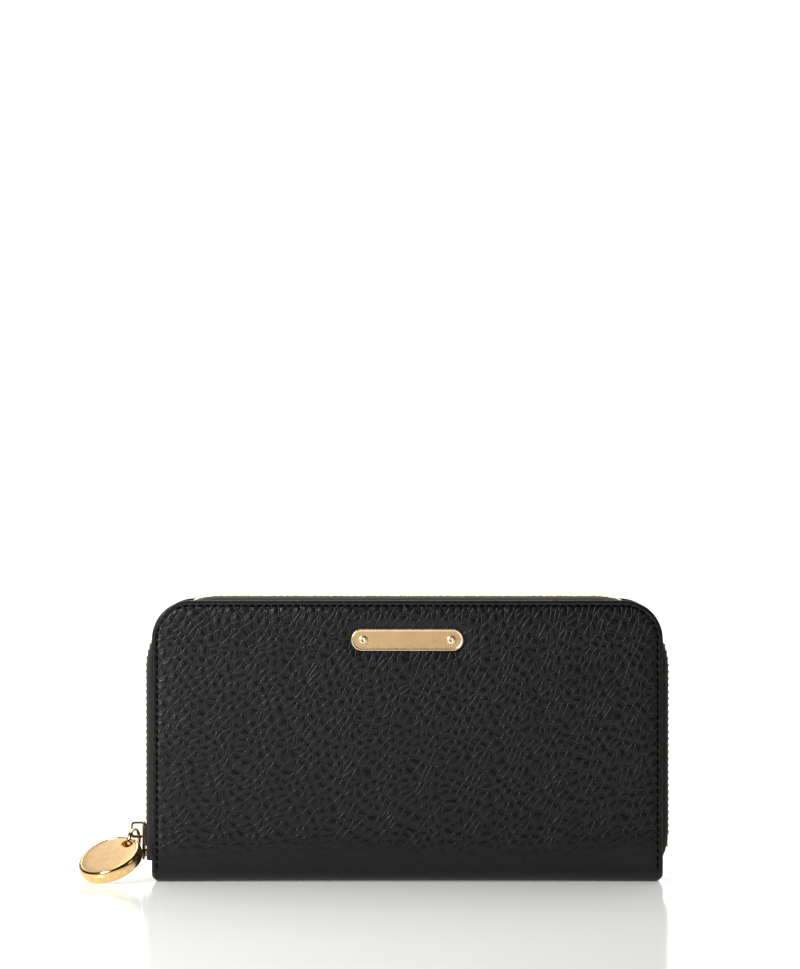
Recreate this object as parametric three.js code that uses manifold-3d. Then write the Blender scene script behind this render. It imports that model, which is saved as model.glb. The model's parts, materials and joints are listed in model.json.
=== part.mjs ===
// A zip around wallet, closed and standing on its spine, in millimetres.
// Origin: middle of the spine's underside. -Y is the front, +X the right-hand end, +Z up.

import * as THREE from 'three';
import { mergeVertices } from 'three/addons/utils/BufferGeometryUtils.js';
import Module from 'manifold-3d';

const wasm = await Module();
wasm.setup();

// Cover
const COVER_WIDTH = 194;
const COVER_HEIGHT = 107;
const COVER_DEPTH = 25;
const COVER_CORNER = 14.75;
const FOLD_RADIUS = 4;
const HALF_WIDTH = COVER_WIDTH / 2;
const HALF_DEPTH = COVER_DEPTH / 2;
const SPINE_HALF = HALF_DEPTH - FOLD_RADIUS;

// Sheets, from the outside inwards
const LEATHER = 1.2;
const BOARD = 0.8;
const LINING = 0.35;
const POCKET = 0.55;
const SHEET_GAP = 0.05;
const BUTT_GAP = 0.1;

// Insets of the inner sheets from the cover's edge
const BOARD_INSET = 5.5;
const POCKET_INSET = 9;

// Card pockets: the height of each step's mouth above the spine, back step first
const POCKET_FOOT = 8;
const POCKET_MOUTHS = [80, 67, 54];
const CARD_PANEL_CLEARANCE = 10;

// Spine and side gussets: the pleat's [x, y] folds, and [height, fullness] up its length
const FOLD_SWEEP = 88.5;
const SPINE_BOARD_INSET = 0.5;
const GUSSET_BASE = 90.3;
const GUSSET_THICK = 0.4;
const GUSSET_PLEAT = [[GUSSET_BASE, 9.6], [91.6, 8.2], [92.2, 6.4], [91.6, 4.6], [GUSSET_BASE, 3.3]];
const GUSSET_LEVELS = [[6, 1], [60, 1], [78, 0.7]];

// Main zip: the chain's middle line is a rounded arch
const CHAIN_HALF_SPAN = 99.3;
const CHAIN_TOP = 107.8;
const CHAIN_CORNER = 27;
const CHAIN_THICK = 1.8;
const ROW_WIDTH = 2.9;
const TOOTH_PITCH = 2.55;
const TOOTH_REACH = 0.5;
const ROW_GAP = 0.4;
const CHAIN_FOOT_LEFT = 12.6;
const CHAIN_FOOT_RIGHT = 15.2;
const TAPE_THICK = 0.5;
const TAPE_EDGE_INSET = 4.5;
const TAPE_FOOT = 8.2;
const TAPE_STEPS = 6;
const TAPE_RIGHT_FEET = [[19, 0], [15, 0.2], [11.5, 1.1], [TAPE_FOOT, 2.6]];
const TAPE_SECTION = [[0, 11], [0.4, 10.95], [0.72, 10.3], [0.9, 8.8], [0.98, 6.8], [1, 5], [1, 3.2]];

// Zip stops and the tabs that close the zip's ends
const TOP_STOP_INNER = 1.2;
const TOP_STOP_LOW = 8.9;
const TOP_STOP_HIGH = 10.9;
const BOTTOM_STOP_OUT = 0.3;
const BOTTOM_STOP_WIDTH = 2.2;
const BOTTOM_STOP_LOW = 12.6;
const BOTTOM_STOP_HIGH = 14.8;
const TAB_INNER = 93;
const TAB_INSET = 0.6;
const TAB_HALF_DEPTH = 5.5;
const TAB_LOW = 1.5;
const TAB_HIGH = 6.6;

// Zip slider: two plates, a post and flanges round the chain, with a lug for the ring
const SLIDER_FOOT = 7.5;
const SLIDER_TOP = 21.8;
const SLIDER_CLEARANCE = 0.3;
const PLATE_THICK = 0.8;
const FLANGE_OUT = 3.95;
const FLANGE_IN = 3.25;
const FLANGE_FOOT = 13;
const NOSE_TIP = 3.4;
const NOSE_WIDE = 4.6;
const NOSE_RISE = 1.4;
const NOSE_END = 3;
const PLATE_CHAMFER = 0.8;
const PLATE_LIP = 0.1;
const POST_HALF = 0.8;
const POST_LOW = 8.6;
const POST_HIGH = 11.5;
const LUG_REACH = 2.3;
const TAPE_SLOT = 1.1;
const LUG_ROD = 1;
const LUG_ROD_Z = 16.1;
const LUG_WINDOW = 3.9;
const LUG_STRAP = 0.6;
const LUG_WIDTH = 1.6;

// Ring and fob
const RING_INNER = 4.2;
const RING_OUTER = 5.0;
const RING_BAND = 1.4;
const RING_TWIST = THREE.MathUtils.degToRad(20);
const RING_SWING = THREE.MathUtils.degToRad(60);
const RING_HANG = 3.15;
const FOB_RADIUS = 12.5;
const FOB_FACE = 11.3;
const FOB_HALF_THICK = 2.5;
const FOB_NORMAL = new THREE.Vector3(-0.29, -0.42, 0.86).normalize();
const FOB_HOLE_RADIUS = 8.36;
const FOB_HOLE_ANGLE = THREE.MathUtils.degToRad(23);
const FOB_HOLE_LENGTH = 5.6;
const FOB_HOLE_WIDTH = 3.7;
const FOB_HANG_RADIUS = 8.65;
const FOB_SIGHT = new THREE.Vector3(0, 0.993, -0.118);
const FOB_BULGE_POWER = 0.8;

// Nameplate
const PLATE_LENGTH = 42.6;
const PLATE_HEIGHT = 8.35;
const PLATE_DOWN = 14.9;
const PLATE_FACE = 0.7;
const PLATE_RIM = 0.2;
const PLATE_RIM_WIDTH = 0.55;
const RIVET_SPACING = 33.4;
const RIVET_HEAD = 1.7;
const RIVET_SHANK = 0.8;
const RIVET_HOLE = 0.95;
const BURR_RADIUS = 2.2;
const BURR_HOLE = 2.6;
const BURR_THICK = 0.6;
const RIVET_TAIL = 0.7;
const RIVET_DOME = [[0, 0.55], [0.35, 0.6], [0.6, 0.85], [1, 0.8], [1.45, 0.5]];

// Coin leaf
const COIN_HALF_WIDTH = 89;
const COIN_FOOT = 5;
const COIN_TOP = 89;
const COIN_HOLLOW = 2.4;
const COIN_WALL = 0.6;
const COIN_CHAIN_LOW = 90.6;
const COIN_CHAIN_HIGH = 92.2;
const COIN_CHAIN_HALF = 1.75;
const COIN_CHAIN_REACH = 80;
const COIN_SLIDER_X = -74;
const COIN_SLIDER_LENGTH = 9;
const COIN_PULL_LENGTH = 11;
const COIN_TAPE_INSET = 1;
const COIN_TAPE_TUCK = 10;
const COIN_TAPE_IN = 1.2;
const COIN_TAPE_OUT = 1.5;
const COIN_TAPE_GAP = 0.3;
const COIN_CAP_LIFT = 0.3;
const COIN_CAP_THICK = 0.7;
const COIN_CAP_HALF = 2.6;
const COIN_WRAP_IN = 2.05;
const COIN_WRAP_LOW = 89.9;
const COIN_LIP_IN = 1.8;
const COIN_LIP_LOW = 89.5;
const COIN_LIP_HIGH = 90.3;
const COIN_LUG_IN = 1.3;
const COIN_LUG_OUT = 1.9;
const COIN_LUG_FOOT = 0.6;
const COIN_LUG_TOP = 2.3;
const COIN_PULL_BACK = 0.6;
const COIN_EYE_HALF = 0.6;
const COIN_EYE_LENGTH = 3;
const COIN_TAB_START = 2.4;
const COIN_TAB_HALF_WIDTH = 2;
const COIN_TAB_HALF_THICK = 0.5;

const MATERIALS = {
  leather: { color: 0x1d1d1e, roughness: 0.55, metalness: 0 },
  board: { color: 0x8a8378, roughness: 0.9, metalness: 0 },
  lining: { color: 0x2a2724, roughness: 0.8, metalness: 0 },
  tape: { color: 0x141414, roughness: 0.9, metalness: 0 },
  brass: { color: 0xb08a4a, roughness: 0.35, metalness: 1 },
  gold: { color: 0xd7af78, roughness: 0.25, metalness: 1 },
};

// --- geometry helpers ---------------------------------------------------------------------

function signedVolume(positions, index) {
  const corners = [0, 1, 2].map(() => new THREE.Vector3());
  let volume = 0;
  for (let i = 0; i < index.length; i += 3) {
    corners.forEach((corner, n) => corner.fromArray(positions, 3 * index[i + n]));
    volume += corners[0].dot(corners[1].cross(corners[2])) / 6;
  }
  return volume;
}

// Merges shared vertices, drops triangles of no area and turns every face outwards.
function closedSolid(geometry) {
  const bare = new THREE.BufferGeometry();
  bare.setAttribute('position', geometry.getAttribute('position').clone());
  if (geometry.index) bare.setIndex(geometry.index.clone());
  const merged = mergeVertices(bare, 1e-4);
  const positions = merged.getAttribute('position').array;
  const index = [];
  for (let i = 0; i < merged.index.count; i += 3) {
    const [a, b, c] = [0, 1, 2].map((n) => merged.index.getX(i + n));
    if (a !== b && b !== c && c !== a) index.push(a, b, c);
  }
  if (signedVolume(positions, index) < 0) index.reverse();
  const solid = new THREE.BufferGeometry();
  solid.setAttribute('position', new THREE.BufferAttribute(new Float32Array(positions), 3));
  solid.setIndex(index);
  return solid;
}

function toManifold(geometry) {
  const solid = closedSolid(geometry);
  return new wasm.Manifold(new wasm.Mesh({
    numProp: 3,
    vertProperties: new Float32Array(solid.getAttribute('position').array),
    triVerts: new Uint32Array(solid.index.array),
  }));
}

function fromManifold(manifold) {
  const mesh = manifold.getMesh();
  const geometry = new THREE.BufferGeometry();
  geometry.setAttribute('position', new THREE.BufferAttribute(new Float32Array(mesh.vertProperties), 3));
  geometry.setIndex(Array.from(mesh.triVerts));
  return geometry;
}

function union(...geometries) {
  return fromManifold(geometries.map(toManifold).reduce((whole, piece) => whole.add(piece)));
}

function cut(geometry, tool) {
  return fromManifold(toManifold(geometry).subtract(toManifold(tool)));
}

function box(low, high) {
  const size = high.map((value, i) => value - low[i]);
  const middle = high.map((value, i) => (value + low[i]) / 2);
  return new THREE.BoxGeometry(...size).translate(...middle);
}

// Joins cross-sections, each a list of [outer, inner] points, into one closed strip.
function stripSolid(sections) {
  const pairs = sections[0].length;
  const ring = 2 * pairs;
  const positions = sections.flatMap((section) =>
    [...section.map((pair) => pair[0]), ...section.map((pair) => pair[1]).reverse()]
      .flatMap((point) => point.toArray()));
  const index = [];
  for (let k = 0; k < sections.length - 1; k += 1) {
    for (let i = 0; i < ring; i += 1) {
      const a = k * ring + i;
      const b = k * ring + ((i + 1) % ring);
      index.push(a, b, b + ring, a, b + ring, a + ring);
    }
  }
  const end = (sections.length - 1) * ring;
  for (let i = 0; i < pairs - 1; i += 1) {
    const j = ring - 1 - i;
    index.push(i, j, i + 1, i + 1, j, j - 1);
    index.push(end + i, end + i + 1, end + j, end + i + 1, end + j - 1, end + j);
  }
  const geometry = new THREE.BufferGeometry();
  geometry.setAttribute('position', new THREE.Float32BufferAttribute(positions, 3));
  geometry.setIndex(index);
  return geometry;
}

// Gives a surface, a grid of points, an even thickness.
function sheetSolid(grid, thickness) {
  const last = [grid.length - 1, grid[0].length - 1];
  return stripSolid(grid.map((row, k) => row.map((point, i) => {
    const along = grid[Math.min(k + 1, last[0])][i].clone().sub(grid[Math.max(k - 1, 0)][i]);
    const across = row[Math.min(i + 1, last[1])].clone().sub(row[Math.max(i - 1, 0)]);
    const half = along.cross(across).setLength(thickness / 2);
    return [point.clone().add(half), point.clone().sub(half)];
  })));
}

// Extrudes a shape drawn in the XZ plane, from y = front to y = back.
function panel(shape, front, back, curveSegments = 10) {
  const depth = back - front;
  return new THREE.ExtrudeGeometry(shape, { depth, bevelEnabled: false, curveSegments })
    .rotateX(Math.PI / 2)
    .translate(0, back, 0);
}

// The cover's outline, inset all round, with its foot at a given height.
function coverShape(inset, foot) {
  const side = HALF_WIDTH - inset;
  const top = COVER_HEIGHT - inset;
  const corner = COVER_CORNER - inset;
  const shape = new THREE.Shape();
  shape.moveTo(-side, foot);
  shape.lineTo(side, foot);
  shape.lineTo(side, top - corner);
  shape.absarc(side - corner, top - corner, corner, 0, Math.PI / 2, false);
  shape.lineTo(corner - side, top);
  shape.absarc(corner - side, top - corner, corner, Math.PI / 2, Math.PI, false);
  return shape;
}

function rectangle(left, right, low, high) {
  const shape = new THREE.Shape();
  shape.moveTo(left, low);
  shape.lineTo(right, low);
  shape.lineTo(right, high);
  shape.lineTo(left, high);
  return shape;
}

function circlePath(x, z, radius) {
  return new THREE.Path().absarc(x, z, radius, 0, 2 * Math.PI, true);
}

function stadium(length, height, x, z, Curve = THREE.Shape) {
  const radius = height / 2;
  const reach = length / 2 - radius;
  const curve = new Curve();
  curve.absarc(x + reach, z, radius, -Math.PI / 2, Math.PI / 2, false);
  curve.absarc(x - reach, z, radius, Math.PI / 2, 1.5 * Math.PI, false);
  return curve;
}

function mesh(name, material, geometry) {
  const node = new THREE.Mesh(closedSolid(geometry), new THREE.MeshStandardMaterial(MATERIALS[material]));
  node.name = name;
  return node;
}

function group(...meshes) {
  return new THREE.Group().add(...meshes);
}

// --- cover ---------------------------------------------------------------------------------

// Depths of each sheet of a cover half, measured from the middle plane.
const leatherIn = HALF_DEPTH - LEATHER;
const boardOut = leatherIn - SHEET_GAP;
const boardIn = boardOut - BOARD;
const liningOut = boardIn - SHEET_GAP;
const liningIn = liningOut - LINING;
const panelOut = liningIn - SHEET_GAP;
const panelIn = panelOut - LINING;

const rivetXs = [-RIVET_SPACING / 2, RIVET_SPACING / 2];
const plateZ = COVER_HEIGHT - PLATE_DOWN;

// A flat sheet of the front half, or its mirror image in the back half.
function layer(side, shape, near, far) {
  return side === 'front' ? panel(shape, -far, -near) : panel(shape, near, far);
}

function withRivetHoles(shape, side, radius) {
  if (side === 'front') rivetXs.forEach((x) => shape.holes.push(circlePath(x, plateZ, radius)));
  return shape;
}

function coverHalf(side) {
  const foot = FOLD_RADIUS + BUTT_GAP;
  const outside = withRivetHoles(coverShape(0, foot), side, RIVET_HOLE);
  const board = withRivetHoles(coverShape(BOARD_INSET, foot + 1), side, BURR_HOLE);
  const pocketSide = HALF_WIDTH - POCKET_INSET;
  const pockets = POCKET_MOUTHS.map((mouth, step) => {
    const far = panelIn - SHEET_GAP - step * (POCKET + SHEET_GAP);
    const sheet = layer(side, rectangle(-pocketSide, pocketSide, POCKET_FOOT, mouth), far - POCKET, far);
    return mesh(`${side}_card_pocket_${step + 1}`, 'leather', sheet);
  });
  return [
    mesh(`${side}_leather`, 'leather', layer(side, outside, leatherIn, HALF_DEPTH)),
    mesh(`${side}_board`, 'board', layer(side, board, boardIn, boardOut)),
    mesh(`${side}_lining`, 'lining', layer(side, coverShape(BOARD_INSET, foot + 1), liningIn, liningOut)),
    mesh(`${side}_card_panel`, 'lining',
      layer(side, rectangle(-pocketSide, pocketSide, POCKET_FOOT - 1, COVER_HEIGHT - CARD_PANEL_CLEARANCE),
        panelIn, panelOut)),
    ...pockets,
  ];
}

// A quarter round of leather about the fold's axis, from the spine up to the cover.
function foldPoints(side, from, to) {
  const radius = FOLD_RADIUS - LEATHER / 2;
  const steps = 8;
  return Array.from({ length: steps + 1 }, (_, i) => {
    const angle = THREE.MathUtils.degToRad(from + ((to - from) * i) / steps);
    return [side * (SPINE_HALF + radius * Math.sin(angle)), FOLD_RADIUS - radius * Math.cos(angle)];
  });
}

function alongSpine(profile, halfLength) {
  return [-halfLength, halfLength].map((x) => profile.map(([y, z]) => new THREE.Vector3(x, y, z)));
}

function frontFold() {
  const bend = alongSpine(foldPoints(-1, 2, FOLD_SWEEP), HALF_WIDTH);
  return mesh('front_fold', 'leather', sheetSolid(bend, LEATHER));
}

function spine() {
  const profile = [[-SPINE_HALF, LEATHER / 2], ...foldPoints(1, 0, FOLD_SWEEP)];
  const boardLow = LEATHER + SHEET_GAP;
  const liningLow = boardLow + BOARD + SHEET_GAP;
  const boardSide = HALF_WIDTH - BOARD_INSET;
  const boardHalf = SPINE_HALF - SPINE_BOARD_INSET;
  return [
    mesh('spine_leather', 'leather', sheetSolid(alongSpine(profile, HALF_WIDTH), LEATHER)),
    mesh('spine_board', 'board',
      box([-boardSide, -boardHalf, boardLow], [boardSide, boardHalf, boardLow + BOARD])),
    mesh('spine_lining', 'lining',
      box([-boardSide, -boardHalf, liningLow], [boardSide, boardHalf, liningLow + LINING])),
  ];
}

// Side gussets fold outwards in one pleat between a cover half and the coin leaf.
function gusset(end, side) {
  const endSign = end === 'left' ? -1 : 1;
  const sideSign = side === 'front' ? -1 : 1;
  const grid = GUSSET_LEVELS.map(([z, fullness]) => GUSSET_PLEAT.map(([x, y]) =>
    new THREE.Vector3(endSign * (GUSSET_BASE + (x - GUSSET_BASE) * fullness), sideSign * y, z)));
  return mesh(`gusset_${end}_${side}`, 'leather', sheetSolid(grid, GUSSET_THICK));
}

// --- nameplate -----------------------------------------------------------------------------

function nameplate() {
  const face = stadium(PLATE_LENGTH, PLATE_HEIGHT, 0, plateZ);
  rivetXs.forEach((x) => face.holes.push(circlePath(x, plateZ, RIVET_HOLE)));
  const rim = stadium(PLATE_LENGTH, PLATE_HEIGHT, 0, plateZ);
  const inner = 2 * PLATE_RIM_WIDTH;
  rim.holes.push(stadium(PLATE_LENGTH - inner, PLATE_HEIGHT - inner, 0, plateZ, THREE.Path));
  const front = -HALF_DEPTH - PLATE_FACE;
  return mesh('name_plate', 'gold', union(
    panel(face, front, -HALF_DEPTH),
    panel(rim, front - PLATE_RIM, front + PLATE_RIM),
  ));
}

// A domed rivet with a dimple, its shank through the plate and the leather to the burr.
function rivet(name, x) {
  const seat = -HALF_DEPTH - PLATE_FACE - SHEET_GAP;
  const tail = -leatherIn + RIVET_TAIL;
  const profile = [
    ...RIVET_DOME.map(([radius, height]) => [radius, seat - height]),
    [RIVET_HEAD, seat], [RIVET_SHANK, seat], [RIVET_SHANK, tail], [0, tail],
  ];
  const points = profile.map(([radius, y]) => new THREE.Vector2(radius, y));
  return mesh(name, 'gold', new THREE.LatheGeometry(points, 20).translate(x, 0, plateZ));
}

function burr(name, x) {
  const shape = new THREE.Shape().absarc(x, plateZ, BURR_RADIUS, 0, 2 * Math.PI, false);
  shape.holes.push(circlePath(x, plateZ, RIVET_HOLE));
  return mesh(name, 'brass', panel(shape, -leatherIn + SHEET_GAP, -leatherIn + BURR_THICK));
}

// --- main zip ------------------------------------------------------------------------------

// Points on a rounded arch from the left foot, over the top, to the right foot.
function archPoints(halfSpan, top, corner, cornerSteps) {
  const points = [];
  for (const sign of [-1, 1]) {
    for (let i = 0; i <= cornerSteps; i += 1) {
      const turn = ((sign < 0 ? i : cornerSteps - i) / cornerSteps) * (Math.PI / 2);
      const x = sign * (halfSpan - corner + corner * Math.cos(turn));
      points.push(new THREE.Vector2(x, top - corner + corner * Math.sin(turn)));
    }
  }
  return points;
}

// The tape is sewn inside the cover's edge and rises to the chain. Its right foot tucks in.
function zipTape(side) {
  const sign = side === 'front' ? -1 : 1;
  const sewn = archPoints(HALF_WIDTH - TAPE_EDGE_INSET, COVER_HEIGHT - TAPE_EDGE_INSET,
    COVER_CORNER - TAPE_EDGE_INSET, TAPE_STEPS);
  const chain = archPoints(CHAIN_HALF_SPAN, CHAIN_TOP, CHAIN_CORNER, TAPE_STEPS);
  const sewnX = HALF_WIDTH - TAPE_EDGE_INSET;
  sewn.unshift(new THREE.Vector2(-sewnX, TAPE_FOOT));
  chain.unshift(new THREE.Vector2(-CHAIN_HALF_SPAN, TAPE_FOOT));
  TAPE_RIGHT_FEET.forEach(([z, tuck]) => {
    sewn.push(new THREE.Vector2(sewnX, z));
    chain.push(new THREE.Vector2(CHAIN_HALF_SPAN - tuck, z));
  });
  const grid = sewn.map((start, k) => TAPE_SECTION.map(([rise, depth]) => {
    const at = start.clone().lerp(chain[k], rise);
    return new THREE.Vector3(at.x, sign * depth, at.y);
  }));
  return mesh(`zip_tape_${side}`, 'tape', sheetSolid(grid, TAPE_THICK));
}

// Place and outward direction at a distance along the chain's middle line.
function chainAt(distance) {
  const leg = CHAIN_TOP - CHAIN_CORNER - CHAIN_FOOT_LEFT;
  const arc = (CHAIN_CORNER * Math.PI) / 2;
  const across = 2 * (CHAIN_HALF_SPAN - CHAIN_CORNER);
  const corner = (sign, turn) => {
    const out = new THREE.Vector3(sign * Math.cos(turn), 0, Math.sin(turn));
    const centre = new THREE.Vector3(sign * (CHAIN_HALF_SPAN - CHAIN_CORNER), 0, CHAIN_TOP - CHAIN_CORNER);
    return { out, at: centre.addScaledVector(out, CHAIN_CORNER) };
  };
  let left = distance;
  if (left < leg) {
    const at = new THREE.Vector3(-CHAIN_HALF_SPAN, 0, CHAIN_FOOT_LEFT + left);
    return { out: new THREE.Vector3(-1, 0, 0), at };
  }
  left -= leg;
  if (left < arc) return corner(-1, left / CHAIN_CORNER);
  left -= arc;
  if (left < across) {
    const at = new THREE.Vector3(CHAIN_CORNER - CHAIN_HALF_SPAN + left, 0, CHAIN_TOP);
    return { out: new THREE.Vector3(0, 0, 1), at };
  }
  left -= across;
  if (left < arc) return corner(1, Math.PI / 2 - left / CHAIN_CORNER);
  left -= arc;
  const at = new THREE.Vector3(CHAIN_HALF_SPAN, 0, CHAIN_TOP - CHAIN_CORNER - left);
  return { out: new THREE.Vector3(1, 0, 0), at };
}

function chainLength() {
  const legs = 2 * (CHAIN_TOP - CHAIN_CORNER) - CHAIN_FOOT_LEFT - CHAIN_FOOT_RIGHT;
  return legs + CHAIN_CORNER * Math.PI + 2 * (CHAIN_HALF_SPAN - CHAIN_CORNER);
}

// One row of teeth on its cord. The two rows' facing edges mesh in one zigzag.
function zipTeeth(side) {
  const sign = side === 'front' ? -1 : 1;
  const steps = 2 * Math.round(chainLength() / TOOTH_PITCH);
  const sections = Array.from({ length: steps + 1 }, (_, k) => {
    const { at, out } = chainAt((chainLength() * k) / steps);
    const zigzag = k % 2 === 0 ? TOOTH_REACH : -TOOTH_REACH;
    return [sign * ROW_WIDTH, zigzag + (sign * ROW_GAP) / 2].map((y) => [1, -1].map((face) =>
      at.clone().addScaledVector(out, (face * CHAIN_THICK) / 2).setY(y)));
  });
  return mesh(`zip_teeth_${side}`, 'brass', stripSolid(sections));
}

function topStop(side) {
  const sign = side === 'front' ? -1 : 1;
  const ys = [sign * TOP_STOP_INNER, sign * ROW_WIDTH].sort((a, b) => a - b);
  const outer = -CHAIN_HALF_SPAN - CHAIN_THICK / 2;
  return mesh(`zip_top_stop_${side}`, 'brass', box([outer, ys[0], TOP_STOP_LOW],
    [outer + CHAIN_THICK, ys[1], TOP_STOP_HIGH]));
}

function bottomStop() {
  const outer = CHAIN_HALF_SPAN + BOTTOM_STOP_OUT;
  return mesh('zip_bottom_stop', 'brass', box([outer - BOTTOM_STOP_WIDTH, -ROW_WIDTH, BOTTOM_STOP_LOW],
    [outer, ROW_WIDTH, BOTTOM_STOP_HIGH]));
}

// Leather tabs close the spine's ends under the zip.
function endTab(end) {
  const sign = end === 'left' ? -1 : 1;
  const xs = [sign * TAB_INNER, sign * (HALF_WIDTH - TAB_INSET)].sort((a, b) => a - b);
  return mesh(`zip_end_tab_${end}`, 'leather', box([xs[0], -TAB_HALF_DEPTH, TAB_LOW],
    [xs[1], TAB_HALF_DEPTH, TAB_HIGH]));
}

// --- slider, ring and fob ------------------------------------------------------------------

const plateFace = -(CHAIN_HALF_SPAN + CHAIN_THICK / 2 + SLIDER_CLEARANCE);
const innerFace = -(CHAIN_HALF_SPAN - CHAIN_THICK / 2 - SLIDER_CLEARANCE);
const lugFace = plateFace - PLATE_THICK;
const lugOut = lugFace - LUG_WINDOW - LUG_STRAP;

// A slider plate is wider at its mouth, at the foot, than at its tail.
function sliderPlate(outerX, innerX) {
  const shape = new THREE.Shape();
  shape.moveTo(-NOSE_TIP, SLIDER_FOOT);
  shape.lineTo(NOSE_TIP, SLIDER_FOOT);
  shape.lineTo(NOSE_WIDE, SLIDER_FOOT + NOSE_RISE);
  shape.lineTo(NOSE_WIDE, SLIDER_FOOT + NOSE_END);
  shape.lineTo(FLANGE_OUT, FLANGE_FOOT);
  shape.lineTo(FLANGE_OUT, SLIDER_TOP - PLATE_CHAMFER);
  shape.lineTo(FLANGE_OUT - PLATE_CHAMFER, SLIDER_TOP);
  shape.lineTo(PLATE_CHAMFER - FLANGE_OUT, SLIDER_TOP);
  shape.lineTo(-FLANGE_OUT, SLIDER_TOP - PLATE_CHAMFER);
  shape.lineTo(-FLANGE_OUT, FLANGE_FOOT);
  shape.lineTo(-NOSE_WIDE, SLIDER_FOOT + NOSE_END);
  shape.lineTo(-NOSE_WIDE, SLIDER_FOOT + NOSE_RISE);
  return new THREE.ExtrudeGeometry(shape, { depth: innerX - outerX, bevelEnabled: false })
    .rotateX(Math.PI / 2)
    .rotateZ(Math.PI / 2)
    .translate(outerX, 0, 0);
}

function sliderBody() {
  const overlap = PLATE_LIP;
  const slotOut = -CHAIN_HALF_SPAN - TAPE_SLOT / 2;
  const slotIn = -CHAIN_HALF_SPAN + TAPE_SLOT / 2;
  const flanges = [-1, 1].flatMap((sign) => {
    const ys = [sign * FLANGE_IN, sign * FLANGE_OUT].sort((a, b) => a - b);
    return [
      box([plateFace - overlap, ys[0], FLANGE_FOOT], [slotOut, ys[1], SLIDER_TOP - 1]),
      box([slotIn, ys[0], FLANGE_FOOT], [innerFace + overlap, ys[1], SLIDER_TOP - 1]),
    ];
  });
  const half = LUG_WIDTH / 2;
  const rod = LUG_ROD / 2;
  const crown = SLIDER_TOP - PLATE_CHAMFER;
  return mesh('slider_body', 'brass', union(
    sliderPlate(lugFace, plateFace),
    sliderPlate(innerFace, innerFace + PLATE_THICK - PLATE_LIP),
    box([plateFace - overlap, -POST_HALF, POST_LOW], [innerFace + overlap, POST_HALF, POST_HIGH]),
    ...flanges,
    box([lugOut, -rod, LUG_ROD_Z - rod], [lugFace + overlap, rod, LUG_ROD_Z + rod]),
    box([lugOut, -half, crown], [lugFace + overlap, half, SLIDER_TOP]),
    box([lugOut, -half, LUG_ROD_Z - rod], [lugOut + LUG_STRAP, half, SLIDER_TOP]),
  ));
}

function place(node, position, xAxis, yAxis, zAxis) {
  node.position.copy(position);
  node.quaternion.setFromRotationMatrix(new THREE.Matrix4().makeBasis(xAxis, yAxis, zAxis));
  return node;
}

const up = new THREE.Vector3(0, 0, 1);
const ringForward = new THREE.Vector3(-Math.sin(RING_TWIST), -Math.cos(RING_TWIST), 0);
const ringAxis = new THREE.Vector3(Math.cos(RING_TWIST), -Math.sin(RING_TWIST), 0);
const lugPoint = new THREE.Vector3(lugFace - LUG_REACH, 0, LUG_ROD_Z);
const ringCentre = lugPoint.clone()
  .addScaledVector(ringForward, RING_HANG * Math.sin(RING_SWING))
  .addScaledVector(up, -RING_HANG * Math.cos(RING_SWING));

// A flat band ring through the slider's lug and the fob's hole.
function pullRing() {
  const half = RING_BAND / 2;
  const profile = [[RING_INNER, -half], [RING_OUTER, -half], [RING_OUTER, half], [RING_INNER, half],
    [RING_INNER, -half]].map(([radius, height]) => new THREE.Vector2(radius, height));
  const ring = new THREE.LatheGeometry(profile, 36).rotateX(Math.PI / 2);
  const down = up.clone().negate();
  return place(mesh('pull_ring', 'gold', ring), ringCentre, ringForward, down, ringAxis);
}

// The fob's own axes: right and upwards across its face, as it leans, and out of its face.
const fobRight = FOB_SIGHT.clone().cross(FOB_NORMAL).normalize();
const fobUpward = FOB_NORMAL.clone().cross(fobRight);

function fobPlace() {
  const along = FOB_NORMAL.dot(ringForward);
  const turn = Math.atan2(FOB_NORMAL.z, along);
  const radius = (RING_INNER + RING_OUTER) / 2;
  const holePoint = ringCentre.clone()
    .addScaledVector(ringForward, radius * Math.sin(turn))
    .addScaledVector(up, -radius * Math.cos(turn));
  return holePoint
    .addScaledVector(fobRight, -FOB_HANG_RADIUS * Math.cos(FOB_HOLE_ANGLE))
    .addScaledVector(fobUpward, -FOB_HANG_RADIUS * Math.sin(FOB_HOLE_ANGLE));
}

// A thick round medallion with a domed rim and an oblong hole for the ring.
function fob() {
  const rimSteps = 8;
  const rim = Array.from({ length: rimSteps + 1 }, (_, i) => {
    const turn = -Math.PI / 2 + (Math.PI * i) / rimSteps;
    const bulge = (FOB_RADIUS - FOB_FACE) * Math.cos(turn) ** FOB_BULGE_POWER;
    return new THREE.Vector2(FOB_FACE + bulge, FOB_HALF_THICK * Math.sin(turn));
  });
  const profile = [new THREE.Vector2(0, -FOB_HALF_THICK), ...rim, new THREE.Vector2(0, FOB_HALF_THICK)];
  const disc = new THREE.LatheGeometry(profile, 44).rotateX(Math.PI / 2);
  const slot = stadium(FOB_HOLE_LENGTH, FOB_HOLE_WIDTH, 0, 0);
  const tool = new THREE.ExtrudeGeometry(slot, { depth: 8, bevelEnabled: false, curveSegments: 8 })
    .translate(0, 0, -4)
    .rotateZ(Math.PI / 2)
    .translate(FOB_HOLE_RADIUS, 0, 0)
    .rotateZ(FOB_HOLE_ANGLE);
  return place(mesh('fob', 'gold', cut(disc, tool)), fobPlace(), fobRight, fobUpward, FOB_NORMAL);
}

// --- coin leaf -----------------------------------------------------------------------------

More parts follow.
